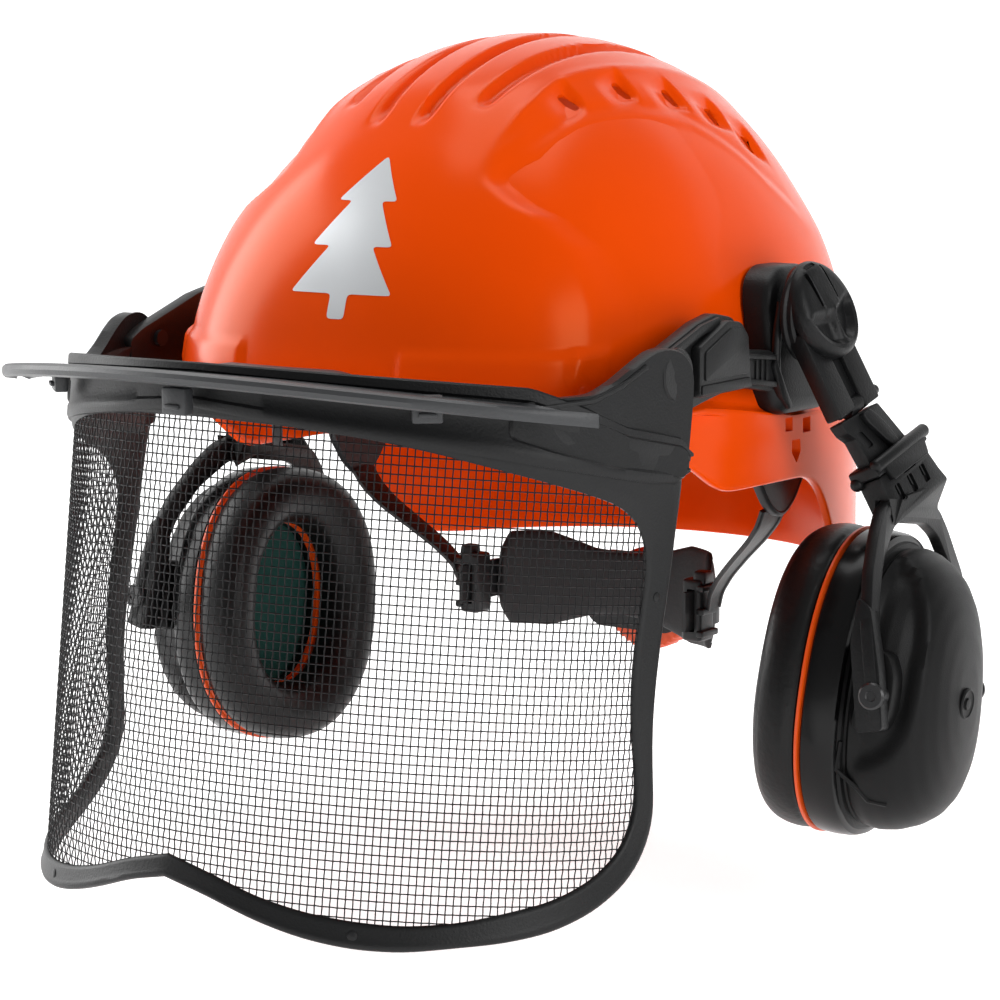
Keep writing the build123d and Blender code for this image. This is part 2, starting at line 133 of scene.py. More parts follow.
FINISH = {
    "shell_plastic": material("shell_orange", (0.86, 0.068, 0.0), 0.22, grain=0.03, grain_size=160,
                              spread=0.03, shine=0.24, glint=(1.0, 0.5, 0.22)),
    "webbing": material("black_webbing", (0.012, 0.012, 0.013), 0.75, weave=260),
    "harness_plastic": material("harness_grey", (0.014, 0.0145, 0.0155), 0.42, grain=0.2, shine=0.4),
    "hanger_plastic": material("hanger_black", (0.0085, 0.0087, 0.009), 0.44, grain=0.3, grain_size=1200,
                               shine=0.32),
    "sweatband_foam": material("sweatband_black", (0.02, 0.02, 0.021), 0.85, grain=0.5, grain_size=500,
                               sheen=0.2),
    "nape_fabric": material("nape_black", (0.009, 0.009, 0.010), 0.62, grain=0.4, grain_size=700, sheen=0.05),
    "dial_plastic": material("dial_orange", (0.76, 0.07, 0.001), 0.35, grain=0.1),
    "visor_plastic": material("visor_black", (0.0065, 0.0067, 0.0072), 0.45, grain=0.4, grain_size=1100,
                              shine=0.32),
    "mesh_wire": material("wire_black", (0.008, 0.008, 0.009), 0.45, metal=0.2, shine=0.3),
    "peak_plastic": material("peak_grey", (0.04, 0.0415, 0.044), 0.42, grain=0.3, grain_size=1100,
                             shine=0.45),
    "arm_plastic": material("arm_black", (0.0045, 0.0046, 0.005), 0.42, grain=0.35, grain_size=1200,
                            shine=0.26),
    "pin_plastic": material("pin_black", (0.016, 0.016, 0.017), 0.3, grain=0.1),
    "cup_plastic": material("cup_black", (0.0028, 0.0028, 0.003), 0.46, grain=0.28, grain_size=2600,
                            shine=0.2),
    "trim_plastic": material("trim_orange", (0.74, 0.075, 0.002), 0.35, grain=0.05),
    "cushion_cover": material("cushion_leatherette", (0.0026, 0.0026, 0.0028), 0.4, coat=0.03, grain=0.6,
                              grain_size=420, shine=0.28),
    "liner_foam": material("liner_green", (0.004, 0.055, 0.045), 0.95, grain=0.9, grain_size=520),
}
GLOSS_BLACK = material("cup_rim_black", (0.0022, 0.0022, 0.0024), 0.24, coat=0.05, shine=0.24)
SILVER = material("emblem_silver", (0.72, 0.74, 0.76), 0.3, metal=0.35, spread=0.03)


# Mesh helpers --------------------------------------------------------------------------
def ease(low, high, value):
    """A smooth step from 0 at low to 1 at high."""
    t = np.clip((value - low) / (high - low), 0.0, 1.0)
    return t * t * (3 - 2 * t)


def link(name, data):
    """A new object in the scene."""
    obj = bpy.data.objects.new(name, data)
    bpy.context.scene.collection.objects.link(obj)
    return obj


def raw(name, verts, faces):
    """An object from millimetre vertices, with consistent outward normals."""
    mesh = bpy.data.meshes.new(name)
    mesh.from_pydata((np.asarray(verts, float) * MM).tolist(), [], [list(f) for f in faces])
    mesh.update()
    bm = bmesh.new()
    bm.from_mesh(mesh)
    bmesh.ops.recalc_face_normals(bm, faces=bm.faces)
    bm.to_mesh(mesh)
    bm.free()
    return link(name, mesh)


def bake(obj):
    """Applies the modifiers into the mesh."""
    graph = bpy.context.evaluated_depsgraph_get()
    mesh = bpy.data.meshes.new_from_object(obj.evaluated_get(graph))
    obj.modifiers.clear()
    obj.data = mesh
    return obj


def soften(obj, width, segments=2, angle=32.0):
    """Rounds the edges."""
    mod = obj.modifiers.new("soft", "BEVEL")
    mod.width = width * MM
    mod.segments = segments
    mod.limit_method = "ANGLE"
    mod.angle_limit = math.radians(angle)
    mod.harden_normals = False
    return bake(obj)


def subdivide(obj):
    """One level of smooth subdivision."""
    mod = obj.modifiers.new("round", "SUBSURF")
    mod.levels = mod.render_levels = 1
    return bake(obj)


def move_to(obj, matrix):
    """Places a shape by a matrix in millimetres."""
    moved = matrix.copy()
    moved.translation = moved.translation * MM
    obj.data.transform(moved)
    return obj


def both_ways(obj):
    """The shape and its mirror image."""
    twin = link(obj.name, obj.data.copy())
    twin.data.transform(Matrix.Scale(-1, 4, (1, 0, 0)))
    twin.data.flip_normals()
    return [obj, twin]


def combine(obj, others, operation):
    """Adds or takes away closed shapes."""
    for other in others:
        mod = obj.modifiers.new("cut", "BOOLEAN")
        mod.operation = operation
        mod.solver = "MANIFOLD"
        mod.object = other
        bake(obj)
        bpy.data.objects.remove(other)
    return obj


def fuse(name, parts):
    """Joins separate closed shapes of one moulding into one object, without merging them."""
    bm = bmesh.new()
    for part in parts:
        bm.from_mesh(part.data)
        bpy.data.objects.remove(part)
    mesh = bpy.data.meshes.new(name)
    bm.to_mesh(mesh)
    bm.free()
    return link(name, mesh)


def dress(obj, name, mat, sharp):
    """Names the piece and gives it its finish and shading."""
    obj.name = name
    obj.data.name = name
    obj.data.materials.clear()
    obj.data.materials.append(mat)
    obj.data.polygons.foreach_set("use_smooth", [True] * len(obj.data.polygons))
    obj.data.set_sharp_from_angle(angle=math.radians(sharp))


def finish_piece(obj, name, body, slot, replaces=(), mat=None, sharp=38.0):
    """Dresses the piece and fixes it to its body."""
    dress(obj, name, mat or FINISH[slot], sharp)
    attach(obj, body)
    if replaces:
        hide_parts(*replaces)
    return obj


def finish_pair(obj, name, body, slot, replaces=(), mat=None, sharp=38.0):
    """The left-hand piece and its mirror image."""
    made = []
    for piece, (side, _) in zip(both_ways(obj), SIDES):
        nodes = [f"{n}_{side}" for n in replaces]
        where = body if body in frame["bodies"] else f"{body}_{side}"
        made.append(finish_piece(piece, f"{name}_{side}", where, slot, nodes, mat, sharp))
    return made


def grid_faces(rows, columns, wrap_rows=False, wrap_columns=False):
    """Quads over a rows x columns array of vertices."""
    r = np.arange(rows if wrap_rows else rows - 1)
    c = np.arange(columns if wrap_columns else columns - 1)
    rr, cc = np.meshgrid(r, c, indexing="ij")
    r2, c2 = (rr + 1) % rows, (cc + 1) % columns
    quads = np.stack([rr * columns + cc, rr * columns + c2, r2 * columns + c2, r2 * columns + cc], -1)
    return quads.reshape(-1, 4).tolist()


def loft(name, sections, closed_path=False):
    """A skin through rings of equal length, capped at both ends unless the path closes."""
    sections = np.asarray(sections, float)
    rows, columns = sections.shape[:2]
    faces = grid_faces(rows, columns, closed_path, True)
    if not closed_path:
        faces.append(list(range(columns)))
        faces.append(list(range((rows - 1) * columns, rows * columns)))
    return raw(name, sections.reshape(-1, 3), faces)


def rounded(points, radius, steps=5):
    """A 2-D outline with its corners rounded; radius is a number or one per corner."""
    points = [np.array(p, float) for p in points]
    count = len(points)
    radii = radius if hasattr(radius, "__len__") else [radius] * count
    out = []
    for i, here in enumerate(points):
        before, after = points[i - 1], points[(i + 1) % count]
        a, b = before - here, after - here
        la, lb = np.linalg.norm(a), np.linalg.norm(b)
        reach = min(radii[i], 0.48 * la, 0.48 * lb)
        start, end = here + a / la * reach, here + b / lb * reach
        for t in np.linspace(0, 1, steps + 1):
            out.append((1 - t) ** 2 * start + 2 * t * (1 - t) * here + t * t * end)
    return np.array(out)


def slab(name, outline, low, high, place):
    """A prism of a 2-D outline; place maps (a, b, height) arrays to x, y, z."""
    a, b = np.asarray(outline, float).T
    rings = [np.stack(place(a, b, np.full_like(a, h)), -1) for h in (low, high)]
    return loft(name, rings)


def tube(name, points, radius, sides=10, closed=False):
    """A round bar along a path; radius may change along it."""
    points = np.asarray(points, float)
    count = len(points)
    radii = np.full(count, radius) if np.isscalar(radius) else np.asarray(radius, float)
    if closed:
        tangents = np.roll(points, -1, 0) - np.roll(points, 1, 0)
    else:
        tangents = np.gradient(points, axis=0)
    rings = []
    side = None
    for i in range(count):
        t = tangents[i] / np.linalg.norm(tangents[i])
        if side is None:
            helper = np.array([0, 0, 1.0]) if abs(t[2]) < 0.9 else np.array([1.0, 0, 0])
            side = np.cross(helper, t)
        side = side - t * (side @ t)
        side /= np.linalg.norm(side)
        up = np.cross(t, side)
        angles = np.linspace(0, 2 * math.pi, sides, endpoint=False)
        rings.append(points[i] + radii[i] * (np.outer(np.cos(angles), side) + np.outer(np.sin(angles), up)))
    return loft(name, rings, closed)


def disc_stack(name, profile, origin, axis, sides=64, squeeze=None):
    """A turned shape: profile of (radius, height) about an axis."""
    z = Vector(axis).normalized()
    x = z.orthogonal().normalized()
    y = z.cross(x)
    x, y, z, origin = (np.array(v, float) for v in (x, y, z, origin))
    angles = np.linspace(0, 2 * math.pi, sides, endpoint=False)
    rings = []
    for radius, height in profile:
        r = radius if squeeze is None else radius * squeeze(angles)
        rings.append(origin + z * height + np.outer(np.cos(angles) * r, x) + np.outer(np.sin(angles) * r, y))
    return loft(name, rings)


def box(name, x, y, z, place=None):
    """A box from (low, high) pairs, through an optional placement matrix."""
    outline = [(x[0], y[0]), (x[1], y[0]), (x[1], y[1]), (x[0], y[1])]
    obj = slab(name, outline, z[0], z[1], lambda a, b, h: (a, b, h))
    return obj if place is None else move_to(obj, place)


# Shell ---------------------------------------------------------------------------------
HALF_W, HALF_L, CENTRE_Y, TOP, LEDGE, WALL, STEP = 107.0, 134.0, 2.0, 115.0, -10.0, 3.0, 3.5
RIM = ((-140, -15), (-96, -15), (-88, -18), (-54, -40), (-48, -42), (15, -42), (26, -45), (35, -51),
       (44, -62), (53, -75), (62, -83), (74, -87.5), (90, -89), (145, -89))
GROOVES = ((9.0, -85.0), (27.0, -73.0))
VENTS = ((47, -46), (52, -19), (58, 5), (64, 25), (70, 41))


def shell_radius(theta, drop, grow):
    """Plan radius of the dome; drop is 0 at the crown and 1 at the ledge."""
    s = np.sin(theta)
    share = 1 - drop
    front = 0.8 * np.power(1 - share, 0.7)
    rear = 0.15 * (1 - share)
    power = 2.0 + rear + (front - rear) * ease(-0.12, 0.35, -s)
    a, b = HALF_W + grow, HALF_L + grow
    return np.power(np.abs(np.cos(theta) / a) ** power + np.abs(s / b) ** power, -1 / power)


def dome_ring(theta, lift, grow):
    """One level of the dome; lift runs from 0 at the ledge to 90 degrees at the crown."""
    height = TOP + grow - LEDGE
    rise = math.sin(math.radians(lift))
    r = shell_radius(theta, 1 - rise, grow) * math.cos(math.radians(lift))
    return r * np.cos(theta), CENTRE_Y + r * np.sin(theta), np.full_like(theta, LEDGE + height * rise)


def relief(x, y, z):
    """Height of the moulded relief over the plain dome."""
    ax = np.abs(x)
    top = ease(55, 75, z)
    upper = np.interp(y, [-62, -40, -21, 0, 37, 90], [41, 41, 44, 47, 48, 40])
    lower = np.interp(y, [-95, -85, -74, -64, -49, -33, -18, 1, 16, 31, 50, 90],
                      [40, 44, 49, 50, 52, 56, 59, 64, 72, 80, 84, 80])
    across = (ax - upper) / (lower - upper)
    along = ease(-90, -64, y) * (1 - ease(62, 104, y))
    face = 1.7 - 3.6 * np.clip(across, 0, 1) + 0.5 * np.exp(-(across / 0.12) ** 2)
    face = np.where(across > 1, -1.9 + 1.6 * ease(0, 6.0, ax - lower), face)
    bulge_edge = np.interp(z, [-10, 2, 12, 24, 35, 45, 55, 60, 67, 77, 85, 90],
                           [88, 89, 89, 87, 82, 76, 65, 55, 45, 37, 35, 39])
    beyond = ease(-3.0, 8.0, ax - bulge_edge)
    beyond = np.where(y > -40, np.maximum(beyond, ease(-40, -20, y)), beyond)
    panel = beyond * ease(-2.0, 8.0, ax - lower) * (1 - 0.9 * ease(-40, 80, y)) * ease(-14, 2, z)
    h = np.where(z > 40, face * along * ease(40, 62, z), 0.0) - 3.2 * panel
    for middle, start in GROOVES:
        centre = middle * (1 + 0.16 * ease(-80, 60, y))
        run = ease(start - 2, start + 9, y) * (1 - ease(92, 102, y))
        side = ax - centre
        h = h - 3.6 * ease(-3.2, -0.6, side) * (1 - ease(0.6, 5.0, side)) * run * top
    for vx, vy in VENTS:
        scoop = ease(vy - 15, vy + 0.5, y) * (1 - ease(vy + 1.5, vy + 4.5, y))
        h = h - 2.8 * (scoop * np.exp(-((ax - vx) / 5.2) ** 4)) * top
    pad = ease(33, 35.5, ax) * (1 - ease(85, 88, ax)) * (1 - ease(7.5, 10.5, z)) * (1 - ease(-70, -60, y))
    tab = (1 - ease(3, 5, np.abs(ax - 88))) * (1 - ease(5, 8, np.abs(z - 4))) * (1 - ease(-72, -66, y))
    return h + 1.5 * pad + 1.2 * tab


def grid_normals(rings):
    """Outward normals of a stack of closed rings."""
    around = np.roll(rings, -1, 1) - np.roll(rings, 1, 1)
    down = np.gradient(rings, axis=0)
    n = np.cross(down, around)
    n /= np.maximum(np.linalg.norm(n, axis=2, keepdims=True), 1e-9)
    outward = np.sign(np.sum(n * (rings - np.array([0, CENTRE_Y, 20.0])), axis=2, keepdims=True))
    return n * outward


def make_shell():
    """Dome, brim step, side band and inner wall, skinned as one closed stack of rings."""
    count = 480
    theta = np.linspace(0, 2 * math.pi, count, endpoint=False)
    y_rim = CENTRE_Y + (HALF_L + STEP) * np.sin(theta)
    rim = np.interp(y_rim, *np.array(RIM, float).T)
    kernel = np.hanning(13)
    rim = np.convolve(np.concatenate([rim[-20:], rim, rim[:20]]), kernel / kernel.sum(), "same")[20:-20]
    ledge = np.interp(y_rim, [-140, -62, 6, 140], [-10, -10, -18, -18])
    brim = STEP + 11.5 * (1 - ease(-118, -45, y_rim)) ** 0.8

    def low_ring(out, z):
        """A ring of the band, out millimetres outside the dome's foot."""
        r = shell_radius(theta, 1.0, 0.0)
        x, y = r * np.cos(theta), r * np.sin(theta)
        nx, ny = np.roll(y, -1) - np.roll(y, 1), -(np.roll(x, -1) - np.roll(x, 1))
        length = np.hypot(nx, ny)
        return np.stack([x + nx / length * out, CENTRE_Y + y + ny / length * out, z + 0 * theta], -1)

    outer = [np.stack(dome_ring(theta, lift, 0.0), -1) for lift in np.linspace(89.4, 0, 104)]
    for f in np.linspace(0.12, 1, 6):
        outer.append(low_ring(0.0, LEDGE + (ledge + 1.2 - LEDGE) * f))
    outer = np.array(outer)
    n = grid_normals(outer)
    outer = outer + n * relief(*np.moveaxis(outer, 2, 0))[..., None]
    rings = list(outer)
    for share, dz in ((0.10, 0.3), (0.35, -0.5), (0.75, -1.0), (0.93, -1.2), (1.0, -1.9), (1.0, -2.7)):
        rings.append(low_ring(brim * share, ledge + dz))
    for share, dz in ((0.93, -3.3), (0.5, -3.5), (0.0, -3.8)):
        rings.append(low_ring(STEP + (brim - STEP) * share, ledge + dz))
    top_z, low_z = ledge - 3.9, np.minimum(rim, ledge - 4.6)
    for f in np.linspace(0.04, 1, 22):
        rings.append(low_ring(STEP + 0.6 * f, top_z + (low_z + 0.9 - top_z) * f))
    for out, dz in ((3.9, 0.35), (3.3, 0.0), (2.0, -0.1), (1.1, 0.2), (0.8, 0.9)):
        rings.append(low_ring(out, low_z + dz))
    for f in np.linspace(0.08, 1, 12):
        rings.append(low_ring(0.7 - 0.2 * f, low_z + 0.9 + (ledge - 4.5 - low_z - 0.9) * f))
    rings.append(low_ring(-1.5, ledge - 2.0))
    for f in np.linspace(0, 1, 4):
        rings.append(low_ring(-WALL, ledge + 0.5 + (LEDGE - ledge - 0.4) * f))
    for lift in np.linspace(1.5, 89.4, 34):
        rings.append(np.stack(dome_ring(theta, lift, -WALL), -1))
    shell = combine(loft("shell", rings), shell_cutters(), "DIFFERENCE")
    return finish_piece(shell, "shell_moulding", "helmet", "shell_plastic", ["shell"], sharp=48)


def shell_cutters():
    """The crown vents and the accessory slots in the side band."""
    cutters = []
    for vx, vy in VENTS:
        rise = math.sqrt(max(0.0, 1 - (vx / HALF_W) ** 2 - ((vy - CENTRE_Y) / HALF_L) ** 2))
        z = LEDGE + (TOP - LEDGE) * rise
        out = Vector((vx / HALF_W ** 2, (vy - CENTRE_Y) / HALF_L ** 2, (z - LEDGE) / (TOP - LEDGE) ** 2))
        out.normalize()
        cutters += both_ways(slot_cutter(Vector((vx, vy, z)), out, Vector((1, 0, 0)), 8.6, 4.0, 9))
    shield = [(-3.0, 3.6), (3.0, 3.6), (3.2, -1.0), (0.0, -5.0), (-3.2, -1.0)]
    shield = slab("cut", rounded(shield, 0.8), 96, 122, lambda a, b, h: (h, a + 6, b - 31.5))
    slot_a = box("cut", (105, 122), (-1.5, 3.5), (-24.5, -19.6))
    slot_b = box("cut", (105, 122), (11, 17), (-26.0, -20.6))
    return cutters + both_ways(shield) + both_ways(slot_a) + both_ways(slot_b)


def slot_cutter(at, out, along, length, width, depth):
    """A rounded slot through a wall."""
    along = (along - out * along.dot(out)).normalized()
    across = out.cross(along)
    outline = rounded([(-length / 2, -width / 2), (length / 2, -width / 2), (length / 2, width / 2),
                       (-length / 2, width / 2)], width * 0.45)
    o, a, c, p = (np.array(v) for v in (out, along, across, at))

    def place(u, v, h):
        """From the slot's own frame to the part's frame."""
        return tuple(p[k] + a[k] * u + c[k] * v + o[k] * h for k in range(3))
    return slab("cut", outline, -depth, depth, place)


make_shell()


def dome_point(x, z):
    """Front of the plain dome at a given x and z."""
    rise = (z - LEDGE) / (TOP - LEDGE)
    scale = math.sqrt(max(1e-6, 1 - rise * rise))
    theta = -math.pi / 2
    for _ in range(30):
        r = float(shell_radius(np.array([theta]), 1 - rise, 0.0)[0]) * scale
        theta = -math.pi / 2 + math.asin(max(-1, min(1, x / r)))
    return Vector((x, CENTRE_Y + r * math.sin(theta), z))


def make_emblem():
    """A plain conifer pictogram, a thin silver foil on the front of the shell."""
    tree = [(0, 31), (11, 15), (5.5, 15), (15, -1), (8, -1), (19, -18), (3.2, -18), (3.2, -27), (-3.2, -27),
            (-3.2, -18), (-19, -18), (-8, -1), (-15, -1), (-5.5, 15), (-11, 15)]
    outline = rounded(tree, 1.6, 3)
    bm = bmesh.new()
    bm.faces.new([bm.verts.new((a, b, 0)) for a, b in outline])
    bmesh.ops.triangulate(bm, faces=bm.faces)
    for normal, low, high in ((Vector((0, 1, 0)), -26, 31), (Vector((1, 0, 0)), -18, 19)):
        for level in np.arange(low, high, 2.0):
            bmesh.ops.bisect_plane(bm, geom=bm.verts[:] + bm.edges[:] + bm.faces[:],
                                   plane_co=normal * float(level), plane_no=normal)
    for v in bm.verts:
        spot = dome_point(v.co.x * 1.12 + 6.5, 45 + v.co.y * 0.94)
        out = Vector((spot.x * 0.8, spot.y - CENTRE_Y, (spot.z - LEDGE) * 1.1)).normalized()
        v.co = (spot + out * 0.16) * MM
    mesh = bpy.data.meshes.new("emblem")
    bm.to_mesh(mesh)
    bm.free()
    obj = link("emblem", mesh)
    mod = obj.modifiers.new("foil", "SOLIDIFY")
    mod.thickness = 0.3 * MM
    mod.offset = 1
    bake(obj)
    finish_piece(obj, "shell_emblem", "helmet", "shell_plastic", mat=SILVER)


make_emblem()


# Visor ---------------------------------------------------------------------------------
VISOR_HALF, VISOR_REACH, VISOR_Y, EAR_Y, EAR_Z, LEAN = 119.0, 112.0, -78.0, -89.0, 4.0, math.radians(7)
ARC_PHI = np.linspace(-90, 90, 1441)
ARC_X = VISOR_HALF * np.sin(np.radians(ARC_PHI))
ARC_Y = -VISOR_REACH * np.cos(np.radians(ARC_PHI))
ARC_S = np.concatenate([[0], np.cumsum(np.hypot(np.diff(ARC_X), np.diff(ARC_Y)))])
ARC_S = ARC_S - ARC_S[-1] / 2


def arc(phi):
    """Distance round the visor from its middle."""
    return np.interp(phi, ARC_PHI, ARC_S)


def wall(s, z, out=0.0):
    """A point of the curved, leaning visor wall, out millimetres outside its middle surface."""
    phi = np.radians(np.interp(s, ARC_S, ARC_PHI))
    x, y = VISOR_HALF * np.sin(phi), VISOR_Y - VISOR_REACH * np.cos(phi)
    nx, ny = VISOR_REACH * np.sin(phi), -VISOR_HALF * np.cos(phi)
    length = np.hypot(nx, ny)
    x, y = x + nx / length * out, y + ny / length * out
    cos, sin = math.cos(LEAN), math.sin(LEAN)
    return np.stack([x, EAR_Y + (y - EAR_Y) * cos + (z - EAR_Z) * sin,
                     EAR_Z - (y - EAR_Y) * sin + (z - EAR_Z) * cos], -1)


def smooth_path(points, count, closed=False):
    """A path through the points, evenly resampled and softened."""
    p = np.array(points, float)
    if closed:
        p = np.vstack([p, p[:1]])
    d = np.concatenate([[0], np.cumsum(np.hypot(*np.diff(p, axis=0).T))])
    t = np.linspace(0, d[-1], count, endpoint=not closed)
    q = np.stack([np.interp(t, d, p[:, k]) for k in (0, 1)], -1)
    weights = np.hanning(9)[1:-1]
    weights /= weights.sum()
    if closed:
        ext = np.vstack([q[-3:], q, q[:3]])
    else:
        ext = np.vstack([2 * q[0] - q[3:0:-1], q, 2 * q[-1] - q[-2:-5:-1]])
    return np.stack([np.convolve(ext[:, k], weights, "valid") for k in (0, 1)], -1)


FRAME_OUT = ((0, -172.5), (8, -176), (17, -182), (25, -186), (33, -188), (41, -188), (50, -185.5), (57, -184),
             (66, -180.5), (74.5, -174), (81.5, -165), (85.5, -155), (87.3, -143), (86, -130), (85, -115),
             (85, -100), (85.8, -80), (87, -61), (87.5, -46), (88.5, -30), (88.5, -22))
FRAME_IN = ((0, -164.8), (8, -168.6), (17, -174.4), (25, -177.6), (33, -179.2), (41, -179.6), (50, -177.6),
            (57, -174.5), (66, -170.4), (73.5, -164.2), (79.4, -155.5), (82, -146), (82.8, -137),
            (81.8, -127), (80.3, -114), (79.6, -100), (79.8, -84), (80.8, -68), (81, -54), (78.5, -45.5),
            (74, -40))
GUSSET_IN = ((67, -36.6), (58, -33), (51, -30.4), (40, -26.2), (30, -23.4), (15, -21.2), (0, -20.6))
GUSSET_OUT = ((74, -20), (60, -19), (50, -18), (40, -17), (28, -15), (15, -14), (0, -14))


def unrolled(points):
    """Outline points given by angle, turned into distances round the wall."""
    return [(float(arc(phi)), z) for phi, z in points]


def make_edge_frame():
    """The moulded strip round the mesh; returns the loop down its middle."""
    outer = smooth_path(unrolled(FRAME_OUT + GUSSET_OUT), 150)
    inner = smooth_path(unrolled(FRAME_IN + GUSSET_IN), 150)
    full_out = np.vstack([outer, (outer * [-1, 1])[-2:0:-1]])
    full_in = np.vstack([inner, (inner * [-1, 1])[-2:0:-1]])
    section = ((0.0, -1.2), (0.0, 1.0), (0.06, 1.9), (0.16, 2.25), (0.30, 2.0), (0.42, 1.55), (0.80, 1.5),
               (0.93, 1.1), (1.0, 0.35), (1.0, -0.5), (0.9, -1.3), (0.3, -1.6), (0.08, -1.8))
    rings = []
    for a, b in zip(full_out, full_in):
        rings.append([wall(*(a + (b - a) * share), out) for share, out in section])
    obj = loft("frame", rings, True)
    rivets = []
    for phi, z in ((-33, -183.4), (33, -183.4), (-83.5, -70), (83.5, -70)):
        at, out = wall(arc(phi), z, 1.4), wall(arc(phi), z, 3.0) - wall(arc(phi), z, 1.4)
        rivets.append(disc_stack("rivet", ((1.8, 0), (1.7, 0.35), (1.1, 0.6)), at, out, 20))
    obj = fuse("frame", [obj] + rivets)
    finish_piece(obj, "visor_edge_strip", "visor", "visor_plastic", ["visor_edge_frame"], sharp=40)
    return (full_out + full_in) / 2


def crossings(loop, value, axis):
    """Where a closed loop crosses a line of constant coordinate, sorted."""
    a, b = loop, np.roll(loop, -1, 0)
    hit = (a[:, axis] - value) * (b[:, axis] - value) < 0
    t = (value - a[hit, axis]) / (b[hit, axis] - a[hit, axis])
    other = a[hit, 1 - axis] + t * (b[hit, 1 - axis] - a[hit, 1 - axis])
    return np.sort(other)


def wire(points, radius):
    """Vertices and faces of a thin four-sided wire."""
    t = np.gradient(points, axis=0)
    t /= np.linalg.norm(t, axis=1, keepdims=True)
    up = np.array([0.13, 0.21, 0.97]) if abs(t[0, 2]) < 0.7 else np.array([0.71, -0.7, 0.05])
    side = np.cross(t, up)
    side /= np.linalg.norm(side, axis=1, keepdims=True)
    other = np.cross(t, side)
    ring = np.stack([points + radius * side, points + radius * other, points - radius * side,
                     points - radius * other], 1)
    n = len(points)
    faces = [[r * 4 + c, r * 4 + (c + 1) % 4, (r + 1) * 4 + (c + 1) % 4, (r + 1) * 4 + c]
             for r in range(n - 1) for c in range(4)]
    return ring.reshape(-1, 3), faces + [[0, 1, 2, 3], [(n - 1) * 4 + k for k in range(4)]]


def make_mesh(loop):
    """The woven grid: upright and level wires that pass over and under each other."""
    pitch_s, pitch_z, radius, swing, shortest = 2.5, 3.0, 0.23, 0.24, 3
    half_count, row_count, top = 72, 57, -19.0
    columns = np.arange(-half_count, half_count + 1) * pitch_s
    rows = top - np.arange(0, row_count) * pitch_z
    for name, lines, axis in (("visor_wires_upright", columns, 0), ("visor_wires_level", rows, 1)):
        verts, faces, base = [], [], 0
        for number, line in enumerate(lines):
            found = crossings(loop, line, axis)
            for low, high in zip(found[0::2], found[1::2]):
                if high - low < shortest:
                    continue
                step = pitch_z if axis == 0 else pitch_s
                first = math.ceil(low / step * 2)
                marks = np.concatenate([[low], np.arange(first, math.floor(high / step * 2) + 1) * step / 2,
                                        [high]])
                if axis == 0:
                    phase = np.cos(math.pi * ((marks - top) / pitch_z + number))
                    path = wall(np.full_like(marks, line), marks, swing * phase)
                else:
                    phase = -np.cos(math.pi * (marks / pitch_s + half_count + number))
                    path = wall(marks, np.full_like(marks, line), swing * phase)
                v, f = wire(path, radius)
                verts.append(v)
                faces += [[i + base for i in q] for q in f]
                base += len(v)
        mesh = bpy.data.meshes.new(name)
        mesh.from_pydata((np.concatenate(verts) * MM).tolist(), [], faces)
        finish_piece(link(name, mesh), name, "visor", "mesh_wire", ["visor_mesh"], sharp=180)


def make_top_bar():
    """The stiff bar under the peak, with two ledges and rounded ends."""
    phis = np.linspace(-89.3, 89.3, 140)
    rings = []
    for phi in phis:
        a = abs(phi)
        low = np.interp(a, [0, 19, 35, 48, 62, 78, 89.5], [-17.6, -21.4, -24.2, -26.4, -29.3, -32.0, -32.4])
        high = np.interp(a, [0, 55, 64, 73, 90], [-2.8, -3.4, -8.0, -14.0, -17.5])
        end = 1 - 0.55 * ease(85.5, 89.3, a)
        low, high = (low + high) / 2 + (low - high) / 2 * end, (low + high) / 2 + (high - low) / 2 * end
        s = float(arc(phi))
        section = ((1.0, -1.8), (1.0, 3.4), (0.97, 4.0), (0.84, 4.0), (0.80, 3.0), (0.60, 2.8), (0.56, 2.5),
                   (0.26, 2.5), (0.20, 3.2), (0.06, 3.2), (0.0, 2.6), (0.0, -1.6), (0.06, -2.2), (0.94, -2.2))
        rings.append([wall(s, low + (high - low) * share, out) for share, out in section])
    obj = loft("bar", rings)
    finish_piece(obj, "visor_brow_bar", "visor", "visor_plastic", ["visor_top_bar"], sharp=34)


def make_ears():
    """Side arms that rise from the bar to the visor's pivots."""
    outline = [(52, -9.0), (60, -6.0), (66, -4.3), (70, 0.5), (74, 6.5), (77.5, 11.2), (81, 12.9),
               (84.5, 12.0), (87, 8.5), (88.3, 4.0), (88.6, -4), (88.2, -30.5), (70, -28), (60, -24),
               (52, -20)]
    path = rounded(unrolled(outline), 3.2, 4)
    ring_out, ring_in, ring_top = [], [], []
    centre = path.mean(0)
    for point in path:
        ring_in.append(wall(*point, -2.0))
        ring_out.append(wall(*point, 2.9))
        inner = centre + (point - centre) * (1 - 0.9 / max(4.0, np.linalg.norm(point - centre)))
        ring_top.append(wall(*inner, 3.8))
    plate = loft("ear", [ring_in, ring_out, ring_top])
    at = np.array([119.6, EAR_Y, EAR_Z])
    profile = ((9.0, 0), (9.0, 0.9), (8.4, 1.5), (3.4, 1.7), (3.2, 1.3), (0.5, 1.3))
    boss = disc_stack("boss", profile, at, (1, 0, 0), 40)
    ridge = []
    for phi, z in ((54, -9.8), (60, -7.4), (66, -5.2), (71, 0.0), (76, 7.0)):
        ridge.append(wall(arc(phi), z - 1.0, 3.4))
    rim = tube("rim", ridge, 1.1, 10)
    finish_pair(fuse("ear", [plate, boss, rim]), "visor_side_arm", "visor", "visor_plastic", ["visor_ear"])


PEAK_HALF, PEAK_BACK_HALF, PEAK_REACH, PEAK_OVAL, PEAK_BACK_Y = 127.5, 122.0, 141.0, 145.0, -144.0


